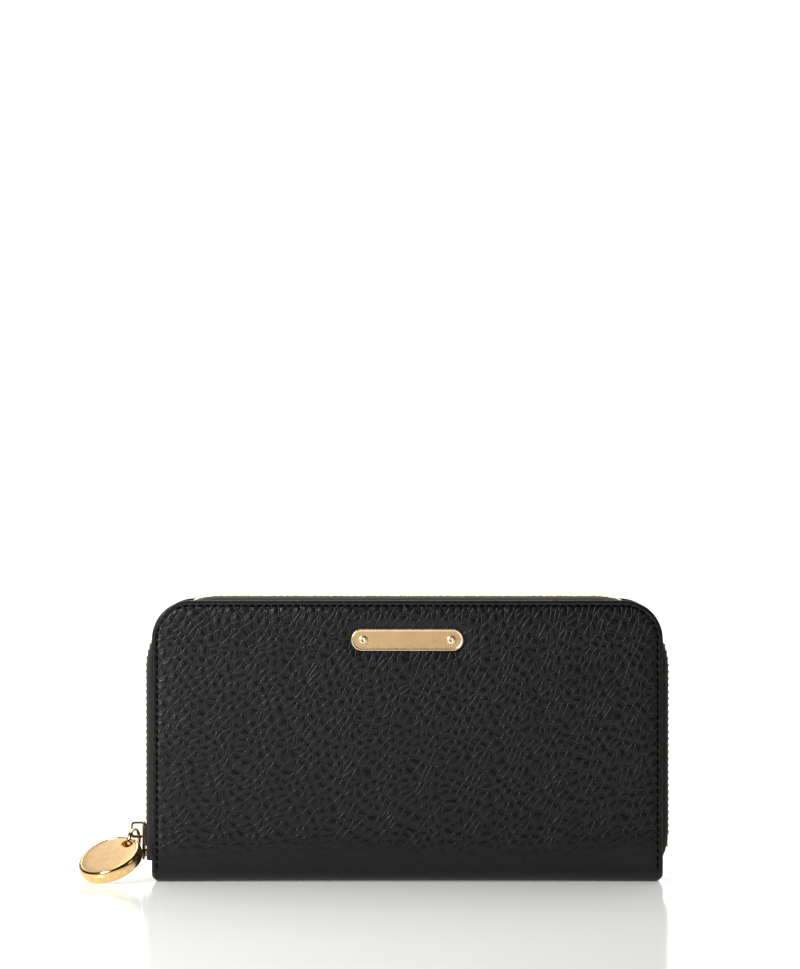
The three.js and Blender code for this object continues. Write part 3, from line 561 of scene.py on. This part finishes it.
def resample(path, spacing):
    length = np.concatenate([[0], np.cumsum(np.linalg.norm(np.diff(path, axis=0), axis=1))])
    count = int(length[-1] // spacing)
    at = (np.arange(count) + 0.5) * length[-1] / count
    places = np.stack([np.interp(at, length, path[:, i]) for i in range(path.shape[1])], -1)
    ahead = np.stack([np.interp(at + 0.2, length, path[:, i]) for i in range(path.shape[1])], -1)
    behind = np.stack([np.interp(at - 0.2, length, path[:, i]) for i in range(path.shape[1])], -1)
    way = ahead - behind
    return places, way / np.linalg.norm(way, axis=1, keepdims=True)


def stitch_template(length, radius, steps=7, sides=7):
    """A short thread that dives into the leather at both ends."""
    t = np.linspace(-1, 1, steps)
    width = radius * np.sqrt(np.maximum(1 - t ** 4, 0.02))
    angle = np.linspace(0, 2 * math.pi, sides, endpoint=False)
    verts = np.zeros((steps, sides, 3))
    verts[..., 0] = (t * length / 2)[:, None]
    verts[..., 1] = width[:, None] * np.cos(angle)
    verts[..., 2] = width[:, None] * np.sin(angle) - (0.45 * radius * t ** 2)[:, None]
    faces = [*grid_faces(steps, sides, close_cols=True)]
    faces.append(list(range(sides))[::-1])
    faces.append(list(range((steps - 1) * sides, steps * sides)))
    return verts.reshape(-1, 3), faces


def scatter(template, frames):
    """Copies a template, (points, faces), by each (origin, x, y, z) frame into one mesh."""
    points, faces = template
    verts, all_faces = [], []
    for k, (origin, ax, ay, az) in enumerate(frames):
        verts.append(points @ np.array([ax, ay, az]) + origin)
        all_faces += [[i + k * len(points) for i in f] for f in faces]
    return np.vstack(verts), all_faces


def stitches(name, path, depth, outward_sign, body, pitch=2.8, length=2.1, radius=0.3, lean=0.10):
    places, ways = resample(path, pitch)
    template = stitch_template(length, radius)
    frames = []
    normal = np.array([0, outward_sign, 0], float)
    for (x, z), way in zip(places, ways):
        along = np.array([way[0], 0, way[1]])
        side = np.cross(normal, along)
        along = along + lean * side
        along /= np.linalg.norm(along)
        frames.append((np.array([x, depth, z]), along, np.cross(normal, along), normal))
    verts, faces = scatter(template, frames)
    return make(name, verts, faces, THREAD, body, slot="zip_tape")


def cover_stitching():
    path = seam_path(SEAM, FOLD + 1.0)
    surface = HALF_DEPTH - 0.12
    stitches("front_stitching", path, -surface, -1, "front_half")
    stitches("back_stitching", path, surface, 1, "back_half")


# --- main zip ------------------------------------------------------------------------------

teeth_low, teeth_high = node_box("zip_teeth_front", "zip_teeth_back")
CHAIN_THICK = 1.8
CHAIN_SPAN = teeth_high[0] - CHAIN_THICK / 2
CHAIN_TOP = teeth_high[2] - CHAIN_THICK / 2
CHAIN_CORNER = 27.0
CHAIN_FOOT = teeth_low[2]
CHAIN_FOOT_RIGHT = CHAIN_FOOT + 2.6
PITCH = 2.55
TAPE_FOOT = node_box("zip_tape_front", "zip_tape_back")[0][2]
TAPE_INSET = 4.5


def arch(span, top, corner, steps, leg_steps, foot):
    """Matched points on a rounded arch: left leg, corner, top, corner, right leg."""
    turn = np.linspace(0, math.pi / 2, steps)
    right = np.stack([span - corner + corner * np.cos(turn), top - corner + corner * np.sin(turn)], -1)
    leg = np.linspace(foot, top - corner, leg_steps)[:-1]
    across = np.linspace(span - corner, corner - span, 60)[1:-1]
    right_leg = np.stack([np.full(len(leg), span), leg], -1)
    half = np.vstack([right_leg, right])
    crown = np.stack([across, np.full(len(across), top)], -1)
    return np.vstack([half * [-1, 1], crown[::-1], half[::-1]])


def tuck(z):
    """How far the right foot of the tape is tucked in, at a height."""
    return np.interp(z, [TAPE_FOOT, 11.5, 15.0, 19.0], [2.6, 1.1, 0.2, 0.0])


def zip_tape(side):
    sign = -1 if side == "front" else 1
    sewn = arch(SIDE - TAPE_INSET, TOP - TAPE_INSET, CORNER - TAPE_INSET, 20, 50, TAPE_FOOT)
    chain = arch(CHAIN_SPAN, CHAIN_TOP, CHAIN_CORNER, 20, 50, TAPE_FOOT)
    leg = (chain[:, 0] > 0) & (chain[:, 1] < 19)
    chain[leg, 0] -= tuck(chain[leg, 1])
    rise = np.interp(np.linspace(0, 1, 22), np.linspace(0, 1, 7), [0, 0.4, 0.72, 0.9, 0.98, 1, 1])
    depth = np.interp(np.linspace(0, 1, 22), np.linspace(0, 1, 7), [11, 10.95, 10.3, 8.8, 6.8, 5, 3.2])
    for _ in range(2):
        rise[1:-1] = (rise[:-2] + 2 * rise[1:-1] + rise[2:]) / 4
        depth[1:-1] = (depth[:-2] + 2 * depth[1:-1] + depth[2:]) / 4
    flat = sewn[:, None] * (1 - rise)[None, :, None] + chain[:, None] * rise[None, :, None]
    points = np.stack([flat[..., 0], np.broadcast_to(sign * depth, flat.shape[:2]), flat[..., 1]], -1)
    verts, faces = thicken(points, 0.5)
    piece = outward(make(f"zip_tape_{side}_cloth", verts, faces, TAPE, f"{side}_half", slot="zip_tape"))
    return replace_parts(piece, f"zip_tape_{side}")


def tooth_template():
    """One tooth: jaws that grip the cord, a neck and a rounded head with a scoop."""
    outline = [(-0.62, 0.0), (-0.62, 1.5), (-0.5, 1.95), (-0.62, 2.3), (-0.5, 2.95), (-0.2, 3.2), (0.2, 3.2),
               (0.5, 2.95), (0.62, 2.3), (0.5, 1.95), (0.62, 1.5), (0.62, 0.0)]
    outline = np.array(outline)
    levels = [(-0.9, 0.5), (-0.5, 1.0), (0.5, 1.0), (0.9, 0.5)]
    verts = np.vstack([np.column_stack([outline[:, 0] * s, outline[:, 1] * s + 1.2 * (1 - s),
                                        np.full(len(outline), h)]) for h, s in levels])
    n = len(outline)
    faces = [*grid_faces(4, n, close_cols=True)]
    faces.append(list(range(n))[::-1])
    faces.append(list(range(3 * n, 4 * n)))
    return verts, faces


def chain_path(foot_left, foot_right):
    turn = np.linspace(0, math.pi / 2, 40)
    right = np.stack([CHAIN_SPAN - CHAIN_CORNER + CHAIN_CORNER * np.cos(turn),
                      CHAIN_TOP - CHAIN_CORNER + CHAIN_CORNER * np.sin(turn)], -1)
    return np.vstack([[[-CHAIN_SPAN, foot_left]], right * [-1, 1], right[::-1], [[CHAIN_SPAN, foot_right]]])


def tooth_frames(path, sign, shift):
    """A frame for each tooth of a row: along the chain, inwards across it, and out of it."""
    length = np.concatenate([[0], np.cumsum(np.linalg.norm(np.diff(path, axis=0), axis=1))])
    at = np.arange(PITCH * shift + 0.7, length[-1] - 0.7, PITCH)
    places = np.stack([np.interp(at, length, path[:, i]) for i in (0, 1)], -1)
    ahead = np.stack([np.interp(at + 0.3, length, path[:, i]) for i in (0, 1)], -1)
    ways = (ahead - places) / np.linalg.norm(ahead - places, axis=1, keepdims=True)
    frames = []
    for (x, z), (wx, wz) in zip(places, ways):
        along = np.array([wx, 0, wz])
        inwards = np.array([0, -sign, 0.0])
        frames.append((np.array([x, sign * 2.9, z]), along, inwards, np.cross(along, inwards)))
    return frames


def zip_teeth(side):
    sign = -1 if side == "front" else 1
    path = chain_path(CHAIN_FOOT, CHAIN_FOOT_RIGHT)
    frames = tooth_frames(path, sign, 0.0 if side == "front" else 0.5)
    piece = make(f"zip_teeth_{side}_metal", *scatter(tooth_template(), frames), TEETH, f"{side}_half",
                 slot="zip_metal")
    outward(piece)
    bevel(piece, 0.12, 1)
    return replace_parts(piece, f"zip_teeth_{side}")


# --- slider, ring and fob ------------------------------------------------------------------


def merged(name, parts):
    """Joins several meshes, modifiers applied, into the first, which keeps its ride and its material."""
    depsgraph = bpy.context.evaluated_depsgraph_get()
    whole = bmesh.new()
    for part in parts:
        data = bpy.data.meshes.new_from_object(part.evaluated_get(depsgraph))
        whole.from_mesh(data)
        bpy.data.meshes.remove(data)
    first = parts[0]
    first.modifiers.clear()
    whole.to_mesh(first.data)
    whole.free()
    for part in parts[1:]:
        bpy.data.objects.remove(part)
    first.name = name
    return first


def box_outline(a_low, a_high, b_low, b_high):
    return [(a_low, b_low), (a_high, b_low), (a_high, b_high), (a_low, b_high)]


def zip_slider():
    """The slider's plates, post, flanges and the lug that carries the ring."""
    low, high = node_box("slider_body")
    span = CHAIN_SPAN
    plate_in, plate_out = -(span + 1.2), -(span + 2.0)
    inner_out, inner_in = -(span - 1.2), -(span - 1.9)
    foot, top = low[2], high[2]
    right = [(3.0, foot), (4.3, foot + 0.9), (4.6, foot + 2.2), (4.4, foot + 4.0), (3.95, foot + 5.6),
             (3.95, top - 1.4), (3.2, top - 0.2), (2.6, top)]
    outline = [*right, *[(-y, z) for y, z in right[::-1]]]
    # The slider's dark brass carries painted shade as well as its antique finish.
    common = dict(material=ANTIQUE_AND_SHADE, body="zip_slider", slot="antique_brass")
    parts = [
        prism("slider_outer", outline, plate_out, plate_in, (1, 2), width=0.3, **common),
        prism("slider_inner", outline, inner_out, inner_in, (1, 2), width=0.25, **common),
        prism("slider_post", [(-0.8, foot + 2.4), (0, foot + 1.0), (0.8, foot + 2.4), (0, foot + 4.0)],
              plate_in - 0.1, inner_out + 0.1, (1, 2), width=0.1, **common),
    ]
    for sign in (-1, 1):
        ys = sorted((sign * 3.25, sign * 3.95))
        for a, b in ((plate_in - 0.1, -(span + 0.55)), (-(span - 0.55), inner_out + 0.1)):
            outline_f = box_outline(min(a, b), max(a, b), ys[0], ys[1])
            parts.append(prism("slider_flange", outline_f, 13.0, top - 1.0, (0, 1), width=0.12, **common))
    rod_z = joints["ring_swing"]["pos_m"][2] / MM
    out = low[0]
    strap = 0.6
    arch_outline = [(plate_out + 0.1, rod_z - 0.5), (out + 0.9, rod_z - 0.5), (out + 0.25, rod_z - 0.25),
                    (out, rod_z + 0.5), (out, top - 1.0), (out + 0.3, top - 0.25), (out + 1.1, top),
                    (plate_out + 0.1, top), (plate_out + 0.1, top - 0.75), (out + 1.2, top - 0.75),
                    (out + strap, top - 1.3), (out + strap, rod_z + 0.9), (out + 1.1, rod_z + 0.5),
                    (plate_out + 0.1, rod_z + 0.5)]
    parts.append(prism("slider_lug", arch_outline, -0.8, 0.8, (0, 2), width=0.16, **common))
    bpy.context.view_layer.update()
    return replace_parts(merged("zip_slider_metal", parts), "slider_body")


def axes_matrix(origin, x, y, z):
    rows = [(x[i], y[i], z[i], origin[i]) for i in range(3)]
    return Matrix((*rows, (0, 0, 0, 1)))


def pull_ring():
    """A flat band ring with softened edges, in the plane that the fob slides round."""
    joint = joints["fob_swing"]
    centre = np.array(joint["pos_m"]) / MM
    axis = Vector(joint["axis"]).normalized()
    down = Vector((0, 0, -1))
    inner, outer, half, soft = 4.2, 5.0, 0.7, 0.16
    profile = [(inner, -half + soft), (inner + soft, -half), (outer - soft, -half), (outer, -half + soft),
               (outer + 0.03, 0), (outer, half - soft), (outer - soft, half), (inner + soft, half),
               (inner, half - soft), (inner - 0.02, 0)]
    matrix = axes_matrix(centre, down.cross(axis), down, axis)
    piece = turned("pull_ring_band", profile, 96, matrix, POLISHED, "pull_ring", "polished_gold")
    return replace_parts(piece, "pull_ring")


def capsule_cutter(length, width, depth, matrix):
    outline = stadium_outline(length, width, 0, 0, 20)
    count = len(outline)
    verts = np.array([(a, b, level) for level in (-depth, depth) for a, b in outline])
    flat = verts @ np.array(matrix.to_3x3()).T + np.array(matrix.translation)
    return outward(make("cutter", flat, drum_faces(count), POLISHED))


def fob():
    """A round medallion: satin faces inside a fine step, a polished domed rim, an oblong hole."""
    low, high = node_box("fob")
    centre = Vector((low + high) / 2)
    normal = Vector((-0.29, -0.42, 0.86)).normalized()
    right = Vector((0, 0.993, -0.118)).cross(normal).normalized()
    upward = normal.cross(right)
    matrix = axes_matrix(centre, right, upward, normal)
    radius, face, half = 12.5, 11.1, 2.5
    rim = []
    for turn in np.linspace(-math.pi / 2, math.pi / 2, 25):
        swell = max(math.cos(turn), 0) ** 0.8
        rim.append((face + 0.1 + (radius - face - 0.1) * swell, half * math.sin(turn)))
    sunk = half - 0.18
    front = [(face, half), (face - 0.16, half - 0.03), (face - 0.3, sunk), (face - 0.6, sunk + 0.04),
             (8, sunk + 0.05), (4, sunk + 0.06), (0, sunk + 0.06)]
    back = [(r, -h) for r, h in front[::-1]]
    finishes = [FOB_SATIN, POLISHED]
    disc = turned("fob_medallion", [*back, *rim, *front], 160, matrix, finishes, "fob", "polished_gold")
    angle = math.radians(23)
    out_to_hole = Matrix.Rotation(angle, 4, "Z") @ Matrix.Translation((8.36, 0, 0))
    turn_in = out_to_hole @ Matrix.Rotation(math.pi / 2, 4, "Z")
    cutter = capsule_cutter(5.6, 3.7, 6.0, matrix @ turn_in)
    modify(disc, "BOOLEAN", operation="DIFFERENCE", object=cutter, solver="EXACT")
    bpy.context.view_layer.update()
    depsgraph = bpy.context.evaluated_depsgraph_get()
    cut = bpy.data.meshes.new_from_object(disc.evaluated_get(depsgraph))
    disc.modifiers.clear()
    disc.data = cut
    bpy.data.objects.remove(cutter)
    inverse = matrix.inverted()
    for polygon in disc.data.polygons:
        at = inverse @ (polygon.center / MM)
        in_hole = abs(polygon.normal.dot(normal)) < 0.5 and math.hypot(at.x, at.y) < face - 0.2
        polygon.material_index = 1 if math.hypot(at.x, at.y) > face - 0.45 or in_hole else 0
    bevel(disc, 0.22, 3, 0.9)
    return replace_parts(disc, "fob")


# --- nameplate -----------------------------------------------------------------------------


def ring_faces(outer, inner):
    """Faces between two loops of one length."""
    n = len(outer)
    return [[outer[i], outer[(i + 1) % n], inner[(i + 1) % n], inner[i]] for i in range(n)]


def nameplate():
    """A stadium plate: rounded outer edge, a polished raised rim and a satin field. The rim's paler gold is a
    painted highlight.
    """
    length, height = PLATE_SIZE[0], PLATE_SIZE[2]
    back, front = plate_high[1], plate_low[1]
    levels = [(0.0, back), (0.0, front + 0.35), (0.1, front + 0.12), (0.25, front + 0.02), (0.42, front),
              (0.6, front + 0.05), (0.72, front + 0.22), (1.0, front + 0.24), (2.2, front + 0.22)]
    verts = []
    for inset, y in levels:
        loop = stadium_outline(length - 2 * inset, height - 2 * inset, PLATE_MIDDLE[0], PLATE_MIDDLE[2], 24)
        verts += [(x, y, z) for x, z in loop]
    n = len(loop)
    loops = [list(range(k * n, (k + 1) * n)) for k in range(len(levels))]
    faces = [f for outer, inner in zip(loops, loops[1:]) for f in ring_faces(outer, inner)]
    faces += [loops[0][::-1], loops[-1]]
    piece = outward(make("name_plate_metal", verts, faces, [SATIN, RIM_HIGHLIGHT], "front_half", slot="plate_gold"))
    for polygon in piece.data.polygons:
        inside = abs(polygon.center.y / MM - (front + 0.23)) < 0.03
        polygon.material_index = 0 if inside else 1
    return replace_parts(piece, "name_plate")


def plate_rivets():
    for end in ("left", "right"):
        low, high = node_box(f"plate_rivet_{end}")
        middle = (low + high) / 2
        seat = plate_low[1] + 0.22
        profile = [(0, -3.2), (0.8, -3.2), (0.8, -0.05), (1.62, -0.02), (1.7, 0.1), (1.62, 0.32), (1.4, 0.55),
                   (1.1, 0.72), (0.8, 0.78), (0.58, 0.72), (0.42, 0.5), (0.25, 0.38), (0, 0.35)]
        matrix = axes_matrix((middle[0], seat, middle[2]), (1, 0, 0), (0, 0, 1), (0, -1, 0))
        # The domes take the rim's paler gold, a painted highlight.
        piece = turned(f"plate_rivet_{end}_dome", profile, 40, matrix, RIM_HIGHLIGHT, "front_half", "plate_gold")
        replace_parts(piece, f"plate_rivet_{end}")


# --- inside --------------------------------------------------------------------------------


def sheet_panel(name, node, body, material, slot, face, lift=0.0):
    """A soft sheet in its CAD node's space, with a rounded rim. lift is the height of its crown.
    face is -1 or 1, the way that its good side looks along Y."""
    low, high = node_box(node)
    middle = (low[1] + high[1]) / 2
    half_thick = (high[1] - low[1]) / 2
    xs = np.linspace(low[0], high[0], 90)
    zs = np.linspace(low[2], high[2], 44)
    x, z = np.meshgrid(xs, zs)
    inside = np.minimum(np.minimum(x - low[0], high[0] - x), np.minimum(z - low[2], high[2] - z))
    crown = lift * smoothstep(inside, 0.3, 6.0)
    rounding = np.clip(inside / 0.35, 0, 1)
    rim = half_thick * np.sqrt(np.maximum(1 - (1 - rounding) ** 2, 0.0))
    good = np.stack([x, middle + face * (rim + crown), z], -1)
    plain = np.stack([x, middle - face * rim, z], -1)
    n = x.size
    faces = np.vstack([grid_faces(*x.shape), grid_faces(*x.shape)[:, ::-1] + n])
    verts = np.vstack([good.reshape(-1, 3), plain.reshape(-1, 3)])
    piece = outward(make(name, verts, faces, material, body, slot=slot))
    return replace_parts(piece, node)


def straight_stitches(name, start, end, depth, face, body):
    path = np.array([start, end], float)
    return stitches(name, path, depth, face, body, pitch=2.4, length=1.8, radius=0.16)


def card_pockets():
    """Three steps of pockets in each half, in two columns, each with a stitched mouth."""
    for side, body, face in (("front", "front_half", 1), ("back", "back_half", -1)):
        for step in (1, 2, 3):
            node = f"{side}_card_pocket_{step}"
            sheet_panel(f"{node}_leather", node, body, INNER, "inner_leather", face)
            low, high = node_box(node)
            surface = high[1] if face > 0 else low[1]
            mouth = high[2] - 1.6
            for end, (a, b) in (("left", (low[0] + 2, -2)), ("right", (2, high[0] - 2))):
                straight_stitches(f"{node}_stitches_{end}", (a, mouth), (b, mouth), surface, face, body)
        low, high = node_box(f"{side}_card_pocket_3")
        surface = high[1] if face > 0 else low[1]
        for column, x in (("left", low[0] + 1.4), ("middle", 0.0), ("right", high[0] - 1.4)):
            straight_stitches(f"{side}_pocket_column_{column}", (x, low[2] + 1), (x, high[2] - 1), surface,
                              face, body)


def card_panels():
    for side, body, face in (("front", "front_half", 1), ("back", "back_half", -1)):
        sheet_panel(f"{side}_card_panel_cloth", f"{side}_card_panel", body, LINING, "lining", face)


def gussets():
    """One accordion side on each end joins the two halves."""
    for end, sign in (("left", -1), ("right", 1)):
        low, high = node_box(f"gusset_{end}_front", f"gusset_{end}_back")
        rest_side, pleat_depth, pleats, dip = 90.5, 0.85, 3, 14
        ys = np.linspace(low[1], high[1], 61)
        zs = np.linspace(low[2], high[2], 30)
        y, z = np.meshgrid(ys, zs)
        pleat = pleat_depth * (1 - np.cos(2 * math.pi * (y - low[1]) / ((high[1] - low[1]) / pleats)))
        fade = 1 - 0.35 * smoothstep(z, 50, high[2])
        scallop = z - dip * smoothstep(z, 30, high[2]) * np.exp(-(y / 5.5) ** 2)
        points = np.stack([sign * (rest_side + pleat * fade), y, scallop], -1)
        verts, faces = thicken(points, 0.4)
        piece = outward(make(f"gusset_{end}", verts, faces, INNER, slot="inner_leather"))
        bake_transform(piece)
        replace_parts(piece, f"gusset_{end}_front", f"gusset_{end}_back")


def coin_leaf():
    """The coin leaf's two cloth walls, its zip's tapes and its two rows of small teeth."""
    for side, face in (("front", -1), ("back", 1)):
        node = f"coin_wall_{side}"
        sheet_panel(f"{node}_cloth", node, "coin_leaf", INNER, "lining", face, 0.05)
        low, high = node_box(node)
        surface = low[1] if face < 0 else high[1]
        seam = high[2] - 1.8
        straight_stitches(f"{node}_stitches", (low[0] + 2, seam), (high[0] - 2, seam), surface, face,
                          "coin_leaf")
        tape = f"coin_zip_tape_{side}"
        sheet_panel(f"{tape}_cloth", tape, "coin_leaf", TAPE, "zip_tape", face)
    low, high = node_box("coin_zip_chain")
    path = np.array([[low[0], (low[2] + high[2]) / 2], [high[0], (low[2] + high[2]) / 2]])
    points, faces = tooth_template()
    small = (points * [0.8, 0.6, 0.8], faces)
    parts = []
    for sign, shift in ((-1, 0.0), (1, 0.5)):
        row = tooth_frames(path, sign, shift)
        frames = [(np.array([o[0], sign * 1.7, o[2]]), a, i, u) for o, a, i, u in row]
        parts.append(scatter(small, frames))
    first, second = parts
    verts = np.vstack([first[0], second[0]])
    faces = [*first[1], *[[i + len(first[0]) for i in f] for f in second[1]]]
    teeth = outward(make("coin_zip_teeth", verts, faces, TEETH, "coin_leaf", slot="zip_metal"))
    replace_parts(teeth, "coin_zip_chain")


def coin_slider():
    """The coin zip's slider: a top plate, walls, lips under the teeth, lugs and a pull."""
    low, high = node_box("coin_slider")
    middle = (low[0] + high[0]) / 2
    common = dict(material=ANTIQUE_AND_SHADE, body="coin_slider", slot="antique_brass")
    top = node_box("coin_zip_chain")[1][2] + 0.3
    outline = [(low[0], -2.0), (low[0] + 1.2, -2.6), (high[0] - 1.5, -2.6), (high[0], -1.8), (high[0], 1.8),
               (high[0] - 1.5, 2.6), (low[0] + 1.2, 2.6), (low[0], 2.0)]
    run = low[0] + 1.2, high[0] - 1.5
    parts = [prism("coin_plate", outline, top, top + 0.7, (0, 1), width=0.2, **common)]
    for sign in (-1, 1):
        wall = sorted((sign * 2.05, sign * 2.6))
        lip = sorted((sign * 1.8, sign * 2.6))
        lug = sorted((sign * 1.3, sign * 1.9))
        for name, edge in (("coin_wall", (*wall, 89.9, top + 0.1)), ("coin_lip", (*lip, 89.5, 90.2))):
            parts.append(prism(name, box_outline(*edge), *run, (1, 2), width=0.1, **common))
        lug_outline = box_outline(middle - 1, middle + 1, top + 0.6, top + 2.3)
        parts.append(prism("coin_lug", lug_outline, *lug, (0, 2), width=0.2, **common))
    bpy.context.view_layer.update()
    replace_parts(merged("coin_slider_metal", parts), "coin_slider")
    low, high = node_box("coin_pull")
    z = (low[2] + high[2]) / 2
    edge = [(low[0], 0.9), (low[0] + 2.4, 1.0), (low[0] + 4.0, 2.0), (high[0] - 1.2, 2.0), (high[0], 1.0)]
    pull_outline = [(x, -y) for x, y in edge] + edge[::-1]
    pull = prism("coin_pull_tab", pull_outline, z - 0.5, z + 0.5, (0, 1), ANTIQUE_AND_SHADE, "coin_pull", 0.2,
                 "antique_brass")
    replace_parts(pull, "coin_pull")


def carried_over():
    """CAD nodes that keep their own shape get a real finish, and the tabs and stops soft edges."""
    finishes = {
        "front_board": BOARD, "back_board": BOARD, "spine_board": BOARD,
        "front_lining": LINING, "back_lining": LINING, "spine_lining": LINING, "coin_edge": LINING,
        "zip_end_tab_left": INNER, "zip_end_tab_right": INNER, "zip_bottom_stop": TEETH,
        "zip_top_stop_front": TEETH, "zip_top_stop_back": TEETH,
        "rivet_burr_left": ANTIQUE_AND_SHADE, "rivet_burr_right": ANTIQUE_AND_SHADE,
    }
    for node, material in finishes.items():
        piece = frame["nodes"][node]
        for slot in piece.material_slots:
            slot.link = "OBJECT"
            slot.material = material
        if "tab" in node or "stop" in node:
            bevel(piece, 0.35, 3)


# --- floor, light and camera ---------------------------------------------------------------


def pale_sweep():
    """A pale, glossy floor that curves up into the backdrop."""
    floor = Nodes("pale_floor")
    shade = floor.ramp(floor.noise(3.0), (0.0, (0.93, 0.93, 0.905)), (1.0, (0.95, 0.95, 0.925)))
    floor.set(specular_ior_level=0.5, emission_color=(0.95, 0.96, 0.92, 1), emission_strength=0.16)
    material = floor.finish(shade, floor.spread(floor.noise(5.0), 0.10, 0.13))
    span, near, depth, rise, bend = 3000, -2200, 1500, 2600, 400
    profile = [(near, 0), (depth - bend, 0)]
    for turn in np.linspace(0, math.pi / 2, 16)[1:]:
        profile.append((depth - bend + bend * math.sin(turn), bend - bend * math.cos(turn)))
    profile.append((depth, rise))
    verts = [(x, y, z) for y, z in profile for x in (-span, span)]
    make("studio_floor", verts, grid_faces(len(profile), 2), material)


def surroundings():
    """A white surround that the camera sees, with only a little light of its own."""
    bpy.context.scene.view_settings.view_transform = "Standard"
    world = bpy.context.scene.world or bpy.data.worlds.new("studio")
    bpy.context.scene.world = world
    world.use_nodes = True
    background = world.node_tree.nodes["Background"]
    background.inputs["Color"].default_value = (1.0, 1.0, 0.985, 1)
    tree = world.node_tree
    rays = tree.nodes.new("ShaderNodeLightPath")
    strength = tree.nodes.new("ShaderNodeMapRange")
    strength.inputs["To Min"].default_value = 0.03
    strength.inputs["To Max"].default_value = 0.95
    tree.links.new(rays.outputs["Is Camera Ray"], strength.inputs["Value"])
    tree.links.new(strength.outputs["Result"], background.inputs["Strength"])


def soft_lights():
    """A key from the upper left, a faint fill, and two wide lamps for the floor and backdrop."""
    for name, place, aim, size, power in (
        ("key", (-0.55, -0.5, 0.45), (0, 0, 0.05), 0.22, 7.5),
        ("top", (0.0, 0.5, 0.8), (0, 0.5, 0), 1.0, 7.5),
        ("fill", (1.0, -0.5, 0.35), (0, 0, 0.05), 0.4, 0.4),
        ("wall", (0.0, 0.8, 0.7), (0, 1.3, 0.3), 1.4, 7.5),
    ):
        lamp = bpy.data.lights.new(name, "AREA")
        lamp.size = size
        lamp.energy = power
        light = bpy.data.objects.new(name, lamp)
        light.location = place
        light.rotation_euler = (Vector(aim) - light.location).to_track_quat("-Z", "Y").to_euler()
        bpy.context.scene.collection.objects.link(light)


def level_camera():
    """A level camera, higher than the wallet's top, so that the wallet sits low in the picture."""
    lens = bpy.data.cameras.new("camera")
    distance, height, shift = 1200, 151, -2.8
    lens.sensor_width = 36
    lens.lens = 0.09793 * distance
    lens.clip_end = 20
    camera = bpy.data.objects.new("camera", lens)
    camera.location = (shift * MM, -(HALF_DEPTH + distance) * MM, height * MM)
    camera.rotation_euler = (math.pi / 2, 0, 0)
    bpy.context.scene.collection.objects.link(camera)
    bpy.context.scene.camera = camera


pale_sweep()
surroundings()
soft_lights()
level_camera()
outer_leather()
cover_stitching()
for half in ("front", "back"):
    zip_tape(half)
    zip_teeth(half)
zip_slider()
pull_ring()
fob()
nameplate()
plate_rivets()
card_panels()
card_pockets()
gussets()
coin_leaf()
coin_slider()
carried_over()
